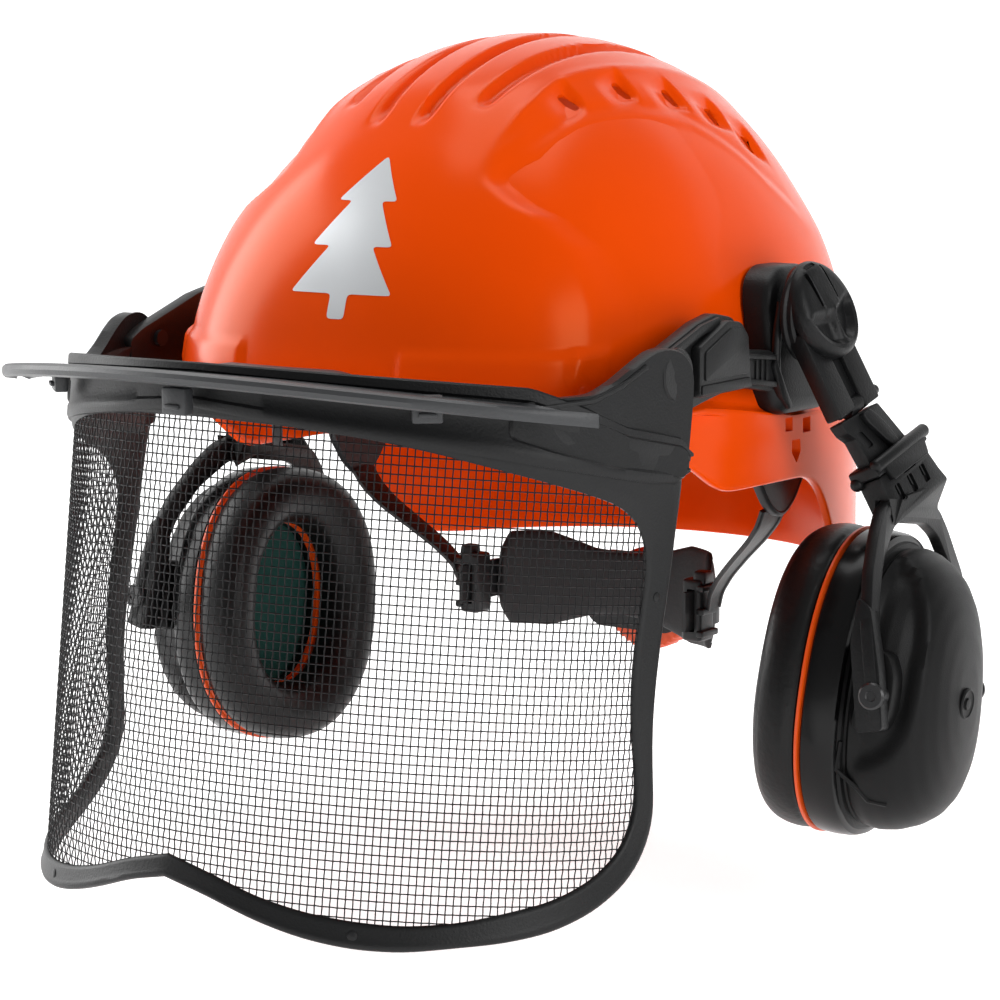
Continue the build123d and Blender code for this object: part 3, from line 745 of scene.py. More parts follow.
def make_peak():
    """The sun peak: a thin crescent with a thick rolled front edge."""
    rings = []
    for t in np.linspace(-1, 1, 121):
        x_out = PEAK_HALF * math.sin(t * math.pi / 2)
        y_out = VISOR_Y - PEAK_REACH * math.sqrt(1 - (x_out / PEAK_OVAL) ** 2)
        x_in = PEAK_BACK_HALF * math.sin(t * math.pi / 2)
        hump = 4.6 * float(ease(34, 22, abs(x_in)))
        y_in = PEAK_BACK_Y - 0.4 * float(ease(0.9, 1.0, abs(t))) - 5.0 * float(ease(40, 0, abs(x_in)))
        back, front = np.array([x_in, y_in]), np.array([x_out, min(y_out, y_in - 1.5)])
        rise = 2.2 * math.cos(t * math.pi / 2)
        thin = math.sqrt(max(0.06, 1 - max(0.0, (abs(t) - 0.94) / 0.06) ** 2))
        section = ((0.0, 0.4 + hump * 0.35), (0.03, 1.0 + hump * 0.35), (0.10, 1.0 + hump * 0.22),
                   (0.14, 0.2), (0.86, -0.4), (0.90, 0.1), (0.96, 0.3), (1.0, -0.6), (1.012, -2.0),
                   (1.0, -3.6), (0.965, -4.3), (0.93, -3.6), (0.90, -2.6), (0.14, -2.0), (0.02, -1.7))
        ring = []
        for share, z in section:
            x, y = back + (front - back) * share
            arch = share * (7.4 - 10.5 * (x / 125) ** 2) - (1 - share) * 6.0 * (x / PEAK_BACK_HALF) ** 2
            ring.append([x, y, (z + 1.6) * thin - 1.6 + rise + arch])
        rings.append(ring)
    finish_piece(loft("peak", rings), "sun_peak_moulding", "visor", "peak_plastic", ["sun_peak"], sharp=36)


def make_peak_clips():
    """Three snap clips under the peak."""
    clips = []
    for turn in (-40, 0, 40):
        spin = Matrix.Rotation(math.radians(turn), 4, "Z")
        place = Matrix.Translation((0, VISOR_Y, 0)) @ spin
        body = box("clip", (-5, 5), (-126.3, -121.5), (-6.6, 2.4), place)
        tab = box("tab", (-3, 3), (-127.6, -126.0), (-4.6, -3.0), place)
        clips += [soften(body, 0.8), soften(tab, 0.5)]
    finish_piece(fuse("clips", clips), "peak_snap_clips", "visor", "peak_plastic", ["peak_clips"])


make_mesh(make_edge_frame())
make_top_bar()
make_ears()
make_peak()
make_peak_clips()


# Visor carriers ------------------------------------------------------------------------
def side_slab(name, outline, low, high, radius=1.5):
    """A plate lying in the side plane: outline in (y, z), from low to high along x."""
    return slab(name, rounded(outline, radius), low, high, lambda a, b, h: (h, a, b))


def make_carriers():
    """The sloping hangers that reach forward from the mounts to the visor's pivots."""
    bar = side_slab("bar", [(-104.5, -3.5), (-104.5, 4.5), (-98, 8.2), (-66, 19.6), (-55, 21.8), (-44, 19.8),
                            (-38.5, 14), (-36.5, -5.5), (-50, -6), (-62, -8), (-72, -10), (-80, -11.5),
                            (-88, -8)],
                    108.6, 114.3, 2.0)
    ledge = side_slab("ledge", [(-103.5, 1.8), (-103.5, 4.2), (-97.5, 7.6), (-66, 18.8), (-55, 20.8),
                                (-55, 17.6), (-68, 14.6), (-97, 4.4)], 113.0, 115.8, 0.8)
    housing = side_slab("housing", [(-71.5, -3.5), (-71.5, 11.5), (-53, 19.6), (-44.5, 18.4), (-39.6, 13.4),
                                    (-37.6, -4.8), (-70.5, -5.6)], 113.6, 118.2, 1.6)
    panel = side_slab("panel", [(-68.8, 0.0), (-68.8, 9.6), (-52, 17.0), (-45.6, 16.2), (-41.6, 12.6),
                                (-40.2, 0.6)],
                      117.6, 119.0, 1.2)
    skirt = side_slab("skirt", [(-70.6, -4.6), (-70.6, -1.4), (-39.6, -0.9), (-38.4, -4.4)], 117.6, 118.8,
                      0.7)
    link = side_slab("link", [(-39, -4.6), (-39, 8.6), (-28, 7.2), (-20.5, 6.6), (-15.8, 4.6), (-15.8, -6.4),
                              (-20, -8.0), (-30, -6.4)], 110.0, 115.2, 1.0)
    rail = side_slab("rail", [(-37, 5.0), (-37, 7.0), (-17.6, 4.9), (-17.6, 2.9)], 114.8, 116.4, 0.5)
    foot = side_slab("foot", [(-37, -3.8), (-37, -1.8), (-17.6, -4.6), (-17.6, -6.6)], 114.8, 116.4, 0.5)
    ribs = [side_slab("rib", [(y, -3.6), (y, 4.0), (y + 1.3, 3.8), (y + 1.3, -3.8)], 114.8, 115.9, 0.3)
            for y in (-31, -27.6, -24.2)]
    parts = [soften(p, w) for p, w in ((bar, 1.0), (ledge, 0.5), (housing, 1.0), (panel, 0.45), (skirt, 0.35),
                                       (link, 0.7), (rail, 0.35), (foot, 0.35))]
    bore = disc_stack("bore", ((3.06, -12), (3.06, 12)), (112, EAR_Y, EAR_Z), (1, 0, 0), 32)
    combine(parts[0], [bore], "DIFFERENCE")
    finish_pair(fuse("carrier", parts + ribs), "visor_hanger", "helmet", "hanger_plastic", ["visor_carrier"])


def make_visor_pins():
    """The pins that the visor tilts on."""
    head = ((3.0, -13), (3.0, 0.9), (2.7, 1.35), (1.3, 1.5), (1.0, 1.2), (0.4, 1.2))
    pin = disc_stack("pin", head, (119.9, EAR_Y, EAR_Z), (1, 0, 0), 36)
    finish_pair(pin, "visor_pivot_pin", "helmet", "pin_plastic", ["visor_pin"])


# Ear-defender mounts and arms ----------------------------------------------------------
KNOB = np.array([120.5, -2.0, 19.0])
ARM_DOWN = np.array([0.397, 0.244, -0.885])
ARM_DOWN /= np.linalg.norm(ARM_DOWN)
ARM_BACK = np.array([0.0, 0.885, 0.244])
ARM_BACK /= np.linalg.norm(ARM_BACK)
ARM_OUT = -np.cross(ARM_BACK, ARM_DOWN)
ARM_OUT *= np.sign(ARM_OUT[0])
FLIP_AT = 36.0


def on_arm(along, back, out):
    """Points in the arm's own frame, turned into the part's frame."""
    along, back, out = (np.asarray(v, float)[..., None] for v in (along, back, out))
    spot = KNOB + ARM_DOWN * along + ARM_BACK * back + ARM_OUT * out
    return spot[..., 0], spot[..., 1], spot[..., 2]


def arm_slab(name, outline, low, high, radius=1.0):
    """A plate on the arm: outline in (along, back), from low to high outward."""
    return slab(name, rounded(outline, radius), low, high, on_arm)


def hinge_bar(marks, radius, sides):
    """A round bar across the arm at the flip hinge."""
    return tube("bar", [np.stack(on_arm(FLIP_AT, back, 0.0), -1) for back in marks], radius, sides)


def make_mounts():
    """The blocks in the shell's side slots, each with a raised lip and a catch."""
    foot = [(-17, -10), (-12, -17.5), (20, -17.5), (24, -10), (24, 12), (20, 30), (12, 35), (-6, 35),
            (-14, 30), (-17, 22)]
    path = rounded(foot, 6.0, 6)
    y, z = path.T

    middle_y, middle_z, half_y, half_z = 0.5, 9.5, 23.0, 27.0

    def ring(shrink, x_low, x_high):
        """An outline drawn in by shrink, its face leaning from x_low at the top to x_high at the foot."""
        scale_y, scale_z = 1 - shrink / half_y, 1 - shrink / half_z
        yy, zz = middle_y + (y - middle_y) * scale_y, middle_z + (z - middle_z) * scale_z
        lean = (middle_z + half_z - zz) / (2 * half_z)
        return np.stack([x_high - (x_high - x_low) * (1 - lean), yy, zz], -1)
    up = np.clip((z - LEDGE) / (TOP - LEDGE), 0, 1)
    on_dome = HALF_W * np.sqrt(np.clip(1 - up ** 2 - ((y - CENTRE_Y) / HALF_L) ** 2, 0.5, 1))
    inner = np.stack([on_dome - 1.0, y, z], -1)
    body = loft("mount", [inner, ring(0.0, 107.5, 112.0), ring(0.8, 109.6, 114.6), ring(2.6, 110.6, 116.0),
                          ring(6.0, 111.0, 116.6)])
    lip_path = rounded([(-12.5, 29.5), (-14.5, 20), (-16.5, 12), (-17.0, 2), (-16, -4), (-12.5, -10),
                        (-6, -14.5)],
                       3.0, 4)[5:-5]
    lip = tube("lip", [(115.4, a, b) for a, b in lip_path], 1.6, 12)
    catch = side_slab("catch", [(-20.5, 1.5), (-18.5, 3.5), (-11.0, -8.5), (-7.0, -14.0), (-9.0, -15.5),
                                (-14.5, -10.5)], 112.5, 117.0, 1.2)
    finish_pair(fuse("mount", [body, lip, soften(catch, 0.7)]), "muff_mount_block", "helmet", "arm_plastic",
                ["muff_mount"])


def make_upper_arms():
    """The turning hub with its stepped skirt, and the two rails that leave it."""
    skirt = disc_stack("skirt", ((15.5, -2.6), (17.0, -2.6), (17.8, -1.8), (17.8, -0.8), (17.2, -0.2),
                                 (16.8, 0.0), (16.8, 1.6), (15.8, 2.4)), KNOB, (1, 0, 0), 72)
    rail_low = arm_slab("rail", [(4, -15.5), (37, -17.5), (37, -6.4), (4, -5.4)], -3.4, 3.2, 1.0)
    rail_high = arm_slab("rail", [(4, 1.4), (38.5, -0.6), (38.5, 9.6), (4, 11.4)], -3.4, 3.2, 1.0)
    web = arm_slab("web", [(4, -7), (34.5, -8), (34.5, 1), (4, 3)], -3.0, 1.2, 0.6)
    parts = [skirt] + [soften(p, 0.8) for p in (rail_low, rail_high)] + [soften(web, 0.4)]
    finish_pair(fuse("upper", parts), "upper_arm_moulding", "swing_arm", "arm_plastic", ["upper_arm"])


def make_thumb_caps():
    """The oval cap over the hub, with two slots, a notch and a scoop for the thumb."""
    half_a, half_b, ahead = 17.8, 16.0, 1.0
    angles = np.linspace(0, 2 * math.pi, 160, endpoint=False)
    profile = np.array([(0.0, 2.4), (0.3, 4.6), (-0.1, 6.4), (-1.0, 7.8), (-2.2, 8.7), (-3.6, 9.2),
                        (-5.2, 9.4), (-15.6, 9.9)])
    marks = np.concatenate([np.arange(6), np.linspace(6, 7, 34)])
    rings = []
    for mark in marks:
        grow, rise = (np.interp(mark, np.arange(8), profile[:, k]) for k in range(2))
        a, b = (half_a + grow) * np.cos(angles) + ahead, (half_b + grow) * np.sin(angles)
        rim = np.hypot((a - ahead) / half_a, b / half_b)
        bowl = ease(0.0, 5.5, a - 1.5 + 0.25 * np.abs(b)) * (1 - ease(0.66, 0.84, rim))
        ridge = np.exp(-(b / (0.8 + 0.16 * np.clip(a, 0, 20))) ** 2)
        tongue = ease(-14.6, -13.4, a) * (1 - ease(1.0, 6.0, a)) * (1 - ease(4.2, 4.9, np.abs(b)))
        rise = rise - 3.4 * bowl * (1 - 0.7 * ridge) + 0.5 * tongue * (rim < 0.9)
        rings.append(np.stack(on_arm(a, b, rise), -1))
    cap = loft("cap", rings)
    slots = [arm_slab("cut", [(-13.5, b - 0.8), (-0.5, b - 0.45), (-0.5, b + 0.45), (-13.5, b + 0.8)], 6.4,
                      16.0, 0.4)
             for b in (-5.2, 5.2)]
    notch = arm_slab("cut", [(-20, -3.4), (-14.2, -3.2), (-14.2, 3.2), (-20, 3.4)], 7.6, 16.0, 0.8)
    combine(cap, slots + [notch], "DIFFERENCE")
    finish_pair(cap, "pivot_thumb_cap", "swing_arm", "arm_plastic", ["pivot_cap"], sharp=30)


def make_lower_arms():
    """The flat blades below the flip hinge, each with a raised tongue beside a hollow."""
    blade = arm_slab("blade", [(38.2, -18.0), (42.5, -17.0), (46, -14.2), (64.5, -13.6), (64.5, 14.2),
                               (58, 14.0), (40.0, 7.4)], -3.0, 2.6, 0.8)
    knuckle = hinge_bar((-9.0, -3.0, 3.0), 3.2, 24)
    tongue = arm_slab("tongue", [(39.5, -6.5), (44, -5.5), (52, -1.0), (58.5, 3.4), (59.5, 5.4), (57.5, 6.4),
                                 (48, 3.8), (43, 1.2), (39.5, -1.4)], 2.0, 5.0, 1.2)
    hollow = arm_slab("cut", [(44.5, -13.0), (51.5, -10.8), (51.5, -6.2), (44.5, -9.2)], 1.9, 5.0, 1.4)
    blade = combine(soften(blade, 0.7), [hollow], "DIFFERENCE")
    parts = [blade, knuckle, soften(tongue, 0.9, 3)]
    finish_pair(fuse("lower", parts), "lower_arm_blade", "flip_arm", "arm_plastic", ["lower_arm"])


make_carriers()
make_visor_pins()
make_mounts()
make_upper_arms()
make_thumb_caps()
make_lower_arms()


# Ear cups ------------------------------------------------------------------------------
def cup_matrix(lean, inset=0.0):
    """Placement of an ear cup's frame: x outward, y back, z up, before its lean."""
    turn = Matrix.Rotation(math.radians(7), 4, "Z") @ Matrix.Rotation(math.radians(-9), 4, "X")
    turn = turn @ Matrix.Rotation(math.radians(lean), 4, "Y")
    return Matrix.Translation((162, 10, -115)) @ turn @ Matrix.Translation((inset, 0, 0))


FORK_FRAME, CUP_FRAME = cup_matrix(-10.3), cup_matrix(4.5, -30.0)


def placed(points, matrix):
    """Points through a placement matrix."""
    m = np.array(matrix)
    return np.asarray(points, float) @ m[:3, :3].T + m[:3, 3]


CUP_ANGLES = np.linspace(0, 2 * math.pi, 112, endpoint=False)


def oval(half_y, half_z, power=2.25):
    """A slightly squared ellipse."""
    c, s = np.cos(CUP_ANGLES), np.sin(CUP_ANGLES)
    r = (np.abs(c / half_y) ** power + np.abs(s / half_z) ** power) ** (-1 / power)
    return r * c, r * s


def oval_ring(half_y, half_z, x):
    """The cup's oval at a distance x outward."""
    y, z = oval(half_y, half_z)
    return np.stack([np.broadcast_to(x, y.shape), y, z], -1)


CUP_BACK = ((8.0, 41.0, 52.0), (15.2, 41.2, 52.2), (16.4, 40.2, 51.2), (16.8, 38.6, 49.6), (17.6, 38.4, 49.4),
            (18.4, 38.9, 49.8), (22.0, 38.3, 49.3), (27.0, 37.2, 48.2), (32.0, 35.0, 45.8),
            (36.5, 31.8, 42.2), (40.0, 27.4, 37.2), (42.6, 22.0, 30.8), (44.4, 16.0, 22.8), (45.4, 9.4, 13.8),
            (45.7, 3.0, 4.4))


def cup_relief(points):
    """The raised middle panel between the fork's legs and the flat it leaves on each side."""
    x, y, z = np.moveaxis(points, -1, 0)
    half = np.interp(z, [-52, -20, 10, 34, 50], [36.0, 31.0, 28.0, 22.0, 14.0])
    panel = 1 - ease(0, 4.0, np.abs(y) - half)
    high = ease(17.5, 23, x)
    return (1.3 * panel - 2.6 * (1 - panel)) * high


def make_cup_backs():
    """The outer shells, each with a boss disc, two pivot ears and two ribs that lie on its surface."""
    rings = []
    profile = np.array(CUP_BACK)
    marks = np.concatenate([[0, 1, 2, 3, 4, 5], np.linspace(5.2, len(profile) - 1, 44)])
    for mark in marks:
        x, a, b = (np.interp(mark, np.arange(len(profile)), profile[:, k]) for k in range(3))
        rings.append(oval_ring(a, b, x))
    rings = np.array(rings)
    n = np.cross(np.gradient(rings, axis=0), np.roll(rings, -1, 1) - np.roll(rings, 1, 1))
    n /= np.maximum(np.linalg.norm(n, axis=2, keepdims=True), 1e-9)
    n *= np.sign(np.sum(n * (rings - [10.0, 0, 0]), axis=2, keepdims=True))
    rings = rings + n * cup_relief(rings)[..., None]
    rings[..., 0] = 17 + (rings[..., 0] - 17) * np.where(rings[..., 0] > 17, 1 - 0.0032 * rings[..., 2], 1)
    inner = [r * [1, 0.94, 0.94] for r in rings[::6]]
    inner = [np.stack([np.clip(r[:, 0] - 2.2, 8.0, None), r[:, 1], r[:, 2]], -1) for r in inner]
    parts = [loft("back", [placed(r, CUP_FRAME) for r in list(rings)[::-1] + inner])]
    skin, skin_out = rings.reshape(-1, 3), n.reshape(-1, 3)
    nearest = np.argmin(np.linalg.norm(skin - [45.5, -3.0, -1.0], axis=1))
    at = placed([skin[nearest], skin[nearest] + skin_out[nearest]], CUP_FRAME)
    axis = at[1] - at[0]
    disc = ((5.6, -2.0), (5.6, 0.35), (5.0, 0.75), (4.5, 0.4), (2.2, 0.2), (1.9, 0.9), (0.6, 1.0))
    parts.append(disc_stack("boss", disc, at[0] + axis * 0.1, axis, 36))
    for side in (-1, 1):
        outline = [(20.0, -13), (31.0, -13), (33.5, -8), (34.0, 0), (33.5, 8), (30.0, 15), (22.0, 15)]
        low, high = (32.0, 41.6) if side > 0 else (-41.6, -32.0)
        ear = slab("ear", rounded(outline, 3.0), low, high, lambda a, b, h: (a, h, b))
        parts.append(soften(move_to(ear, CUP_FRAME), 1.0))
        path = [(19.0, side * 41.8, -18), (19.6, side * 40.6, -30), (21.5, side * 37.4, -39),
                (27, side * 33.0, -42), (33, side * 28.0, -41)]
        path = [skin[np.argmin(np.linalg.norm(skin - spot, axis=1))] for spot in path]
        parts.append(tube("rib", placed(path, CUP_FRAME), 0.9, 8))
    finish_pair(fuse("back", parts), "cup_back_moulding", "cup", "cup_plastic", ["cup_shell"], sharp=30)


def make_cup_rims():
    """The glossy band round each cup and the thin orange trim ring beside it."""
    rim_profile = ((2.5, 42.6, 53.6), (2.6, 43.4, 54.4), (3.2, 43.9, 54.9), (8.0, 44.1, 55.1),
                   (13.0, 43.7, 54.7), (14.6, 43.0, 54.0), (15.4, 41.6, 52.6), (15.4, 36.0, 46.0),
                   (6.2, 36.0, 46.0), (5.8, 33.0, 43.0), (5.8, 22.4, 32.4), (2.5, 22.4, 32.4))
    rim = loft("rim", [placed(oval_ring(a, b, x), CUP_FRAME) for x, a, b in rim_profile], True)
    finish_pair(rim, "cup_rim_band", "cup", "cup_plastic", ["cup_plate"], GLOSS_BLACK, 30)
    trim_profile = ((0.5, 43.0, 54.0), (0.55, 43.9, 54.9), (0.8, 44.4, 55.4), (1.6, 44.4, 55.4),
                    (1.9, 43.9, 54.9), (2.0, 43.0, 54.0), (2.4, 42.6, 53.6), (2.4, 22.6, 32.6),
                    (0.1, 22.6, 32.6), (0.1, 42.6, 53.6))
    trim = loft("trim", [placed(oval_ring(a, b, x), CUP_FRAME) for x, a, b in trim_profile], True)
    finish_pair(trim, "cup_trim_ring", "cup", "trim_plastic", ["trim_ring"])


CUSHION_OUT, CUSHION_IN, LINER_HALF = (43.0, 54.0), (22.6, 32.4), (29.5, 40.5)


def make_cushions():
    """The soft rings against the head: a plump oval ring with slightly puckered seams."""
    section = ((0.03, -0.05), (0.00, -0.5), (0.012, -1.3), (-0.03, -2.2), (-0.055, -5.0), (-0.05, -8.5),
               (-0.015, -12.0), (0.035, -14.2), (0.05, -14.5), (0.075, -15.3), (0.14, -16.9), (0.24, -18.0),
               (0.36, -18.5), (0.5, -18.3), (0.64, -17.5), (0.77, -15.8), (0.88, -13.2), (0.955, -9.8),
               (0.99, -6.0), (1.0, -2.5), (0.99, -0.05))
    k = CUP_ANGLES
    pucker = 0.16 * np.sin(23 * k + 0.6 * np.sin(3 * k)) + 0.11 * np.sin(37 * k + 1.3)
    pucker = pucker + 0.3 * np.sin(2 * k + 0.8)
    rings = []
    for share, x in section:
        ring = oval_ring(*(o + (i - o) * share for o, i in zip(CUSHION_OUT, CUSHION_IN)), x)
        soft = math.exp(-((share - 0.86) / 0.16) ** 2) + 0.5 * math.exp(-((share - 0.08) / 0.05) ** 2)
        ring[:, 0] += pucker * soft + 0.12 * np.sin(5 * k) * (1 if x < -8 else 0)
        rings.append(placed(ring, CUP_FRAME))
    cushion = subdivide(loft("cushion", rings, True))
    for piece in finish_pair(cushion, "ear_cushion_cover", "cup", "cushion_cover", ["ear_cushion"],
                             sharp=180):
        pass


def make_liners():
    """The rough green foam inside the cups."""
    rings = []
    rng = np.random.default_rng(7)
    for share, x in ((0.15, 9.8), (0.5, 9.4), (0.8, 8.2), (0.96, 6.8), (1.0, 6.3), (1.0, 12.0), (0.5, 12.4)):
        ring = oval_ring(LINER_HALF[0] * share, LINER_HALF[1] * share, x)
        ring[:, 0] += rng.normal(0, 0.12, len(ring)) * (x < 12)
        rings.append(placed(ring, CUP_FRAME))
    for piece in finish_pair(loft("liner", rings), "cup_foam_liner", "cup", "liner_foam", ["foam_liner"],
                             sharp=60):
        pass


def make_cup_pins():
    """The pins that each cup tilts on between the fork's legs."""
    head = ((3.0, 0), (3.0, 13.4), (4.6, 13.6), (4.7, 14.5), (4.0, 15.1), (2.0, 15.1), (1.6, 14.6))
    pins = []
    for side in (-1, 1):
        base, tip = placed([[30.0, side * 36.6, 0], [30.0, side * 51.0, 0]], CUP_FRAME)
        pins.append(disc_stack("pin", head, base, tip - base, 30))
    finish_pair(fuse("pins", pins), "cup_pivot_pins", "cup", "pin_plastic", ["cup_pins"])


def tongue_channel():
    """Room in the slider for the lower blade's tongue over the whole height travel."""
    return arm_slab("cut", [(50, -3.2), (65.9, -1.2), (65.9, 7.4), (50, 7.4)], 3.0, 5.5, 0.3)


def make_forks():
    """The two-legged forks that hold the cups, with a broad flank on each leg."""
    legs = [(-49.6, -11), (-42.7, -11), (-42.4, 18), (-39.4, 33), (-31.5, 47), (-19, 58.5), (-12, 60.5),
            (14, 60.5), (24, 56.5), (33, 46.5), (39.4, 33), (42.4, 18), (42.7, -11), (49.6, -11), (50.8, 10),
            (50.2, 24), (46, 43), (35, 59), (28, 66), (22, 68), (-18, 69), (-27, 65), (-35, 56), (-44, 42),
            (-50, 25), (-50.8, 10)]
    outline = rounded(legs, 3.0, 3)
    plate = slab("legs", outline, -2.3, 2.1, lambda a, b, h: (h, a, b))
    plate = soften(move_to(plate, FORK_FRAME), 0.9)
    web = [(-7.5, -12), (2.1, -12), (3.0, 8), (2.1, 30), (-2.3, 34), (-6.5, 18)]
    parts = []
    for low, high in ((-49.4, -42.8), (42.8, 49.4)):
        flank = slab("flank", rounded(web, 1.6), low, high, lambda a, b, h: (a, h, b))
        parts.append(soften(move_to(flank, FORK_FRAME), 0.8))
    socket = arm_slab("cut", [(40, -14.5), (77, -14.5), (77, 16.5), (40, 16.5)], -3.6, 3.4, 0.5)
    plate = combine(plate, [socket], "DIFFERENCE")
    finish_pair(fuse("fork", [plate] + parts), "cup_fork_moulding", "yoke", "arm_plastic", ["fork"])


def make_necks():
    """The height sliders: a hollow neck lofted from the arm into the fork, with windows and teeth."""
    sections = []
    for along, low, high, half in ((61.5, -16.0, 17.8, 5.0), (66.0, -16.2, 18.6, 5.0),
                                   (72.0, -16.8, 20.2, 4.8), (77.5, -18.0, 23.0, 4.2)):
        back, out = np.array(((low, -half), (low, half), (high, half), (high, -half))).T
        sections.append(np.stack(on_arm(np.full(4, along), back, out), -1))
    for up, low, high, half in ((67.0, -22.0, 25.0, 2.8), (61.5, -30.0, 30.0, 2.2)):
        corner = ((-half, low), (half, low), (half, high), (-half, high))
        sections.append(placed([(o, b, up) for o, b in corner], FORK_FRAME))
    neck = loft("neck", sections)
    cavity = arm_slab("cut", [(50, -14.4), (77, -14.4), (77, 16.0), (50, 16.0)], -3.4, 3.2, 0.5)
    windows = []
    for back in (-8.4, 0.8, 10.0):
        windows.append(arm_slab("cut", [(67.0, back - 1.7), (73.6, back - 1.5), (73.6, back + 2.1),
                                        (67.0, back + 1.9)], 3.4, 9.0, 0.9))
    neck = combine(soften(neck, 1.2), [cavity, tongue_channel()] + windows, "DIFFERENCE")
    teeth = [arm_slab("tooth", [(66.8, b - 0.4), (71.0, b - 0.4), (71.0, b + 0.4), (66.8, b + 0.4)], 3.2, 4.6,
                      0.2)
             for b in (-8.2, 1.0, 10.2)]
    finish_pair(fuse("neck", [neck] + teeth), "height_neck_moulding", "yoke", "arm_plastic",
                ["height_slider"])


def make_collars():
    """The clips round the neck's mouth: a sleeve, two rods across it and a ledge."""
    collar = arm_slab("collar", [(56.4, -16.8), (61.2, -17.2), (61.2, 20.0), (56.4, 19.4)], -6.2, 6.0, 1.2)
    hollow = arm_slab("cut", [(50, -14.6), (66, -14.6), (66, 16.0), (50, 16.0)], -3.6, 3.4, 0.5)
    collar = combine(soften(collar, 1.1), [hollow, tongue_channel()], "DIFFERENCE")
    rods = []
    for along, out, low, high, thick in ((57.4, 5.6, -17.0, 21.6, 2.4), (61.0, -4.6, -18.4, 12.0, 2.4)):
        marks = np.array([low, low + 0.5, low + 1.4, high - 1.4, high - 0.5, high])
        radii = thick * np.array([0.35, 0.8, 1.0, 1.0, 0.8, 0.35])
        rods.append(tube("rod", np.stack(on_arm(np.full(6, along), marks, np.full(6, out)), -1), radii, 18))
    ledge = arm_slab("ledge", [(58.5, -12.0), (65.0, -10.5), (65.0, 15.0), (58.5, 17.0)], 4.6, 7.2, 1.0)
    ledge = combine(soften(ledge, 0.8), [tongue_channel()], "DIFFERENCE")
    finish_pair(fuse("collar", [collar] + rods + [ledge]), "slider_collar_clip", "yoke", "arm_plastic",
                ["slider_collar"])


def make_flip_pins():
    """The axles of the flip hinges, with thicker ends."""
    bars = [hinge_bar(marks, radius, 20) for marks, radius in (
        ((-13.4, -10.0), 1.9), ((10.0, 13.0), 1.9), ((-10.0, 10.0), 1.6))]
    finish_pair(fuse("flip", bars), "flip_axle", "swing_arm", "pin_plastic", ["flip_pin"])


make_cup_backs()
make_cup_rims()
make_cushions()
make_liners()
make_cup_pins()
make_forks()
make_necks()
make_collars()
make_flip_pins()


# Harness -------------------------------------------------------------------------------
HARNESS_Y = 10.0
STRAP_RUNS = (("crown_strap_cross", 90.0, 96.0, -34.0, 78.0),
              ("crown_strap_diagonal_a", 50.0, 102.0, -14.0, 80.1),
              ("crown_strap_diagonal_b", 130.0, 102.0, -14.0, 82.2))
WEB_SECTION = ((-10, 0.0), (-9.8, -0.45), (-9.2, -0.6), (-7.6, -0.48), (-6.8, -0.62), (0, -0.7), (6.8, -0.62),
               (7.6, -0.48), (9.2, -0.6), (9.8, -0.45), (10, 0), (9.8, 0.45), (9.2, 0.6), (7.6, 0.48),
               (6.8, 0.62), (0, 0.75), (-6.8, 0.62), (-7.6, 0.48), (-9.2, 0.6), (-9.8, 0.45))


def make_crown_straps():
    """Webbing arches over the head; each run is (name, direction, reach, foot, top)."""
    for name, angle, reach, foot, top in STRAP_RUNS:
        spin = Matrix.Translation((0, HARNESS_Y, foot)) @ Matrix.Rotation(math.radians(angle - 90), 4, "Z")
        rings = []
        for t in np.radians(np.linspace(0, 180, 73)):
            a, b = reach - 0.6, top - foot - 0.6
            spot = np.array([a * math.cos(t), 0, b * math.sin(t)])
            out = np.array([math.cos(t) / a, 0, math.sin(t) / b])
            out /= np.linalg.norm(out)
            rings.append(placed([spot + [0, w, 0] + out * h for w, h in WEB_SECTION], spin))
        finish_piece(loft("strap", rings), f"{name}_webbing", "helmet", "webbing", [name], sharp=60)


def make_clips():
    """A tapered clip and a buckle at each end of the crown straps."""
    parts = []
    for index, (_, angle, reach, foot, _) in enumerate(STRAP_RUNS):
        for turn in (angle, angle + 180):
            at = (Matrix.Translation((0, HARNESS_Y, foot)) @ Matrix.Rotation(math.radians(turn), 4, "Z")
                  @ Matrix.Translation((0, reach + 1.2, 0)))
            wide = 19.5 if index == 0 else 12.0
            shift = 7.0 * (1 if turn < 180 else -1) if index == 0 else 0.0
            outline = [(-wide, -2), (wide, -2), (wide * 0.93, -8), (wide * 0.45, -20.5), (0, -25.5),
                       (-wide * 0.45, -20.5), (-wide * 0.93, -8)]
            path = rounded([(a + shift, b) for a, b in outline], [1.5, 1.5, 4, 6, 9, 6, 4], 4)
            a, b = path.T
            ca, cb = shift, -10.0
            rings = []
            for shrink, out in ((0.985, -2.0), (1.0, -1.5), (1.0, 0.9), (0.97, 1.5), (0.9, 1.9), (0.86, 1.55),
                                (0.5, 2.0), (0.1, 2.2)):
                pts = np.stack([ca + (a - ca) * shrink, np.full_like(a, out), cb + (b - cb) * shrink], -1)
                rings.append(placed(pts, at))
            parts.append(loft("clip", rings))
            buckle = box("buckle", (-11.0, 11.0), (-2.2, 2.4), (-3.0, 9.0), at)
            window = box("cut", (-8.5, 8.5), (-4, 4), (1.0, 5.2), at)
            parts.append(combine(soften(buckle, 0.9), [window], "DIFFERENCE"))
    finish_piece(fuse("clips", parts), "harness_clip_set", "helmet", "harness_plastic", ["harness_clips"],
                 sharp=34)


def u_path(half, reach, legs, count, span=90.0):
    """Plan of a U with a half-ellipse front, from one leg's end to the other."""
    turns = np.radians(np.linspace(-span, span, count))
    pts = [(half * math.sin(t), -reach * math.cos(t)) for t in turns]
    if legs:
        pts = [(-half, legs)] + pts + [(half, legs)]
    pts = np.array(pts)
    tangent = np.gradient(pts, axis=0)
    tangent /= np.linalg.norm(tangent, axis=1, keepdims=True)
    return pts, np.stack([tangent[:, 1], -tangent[:, 0]], -1)


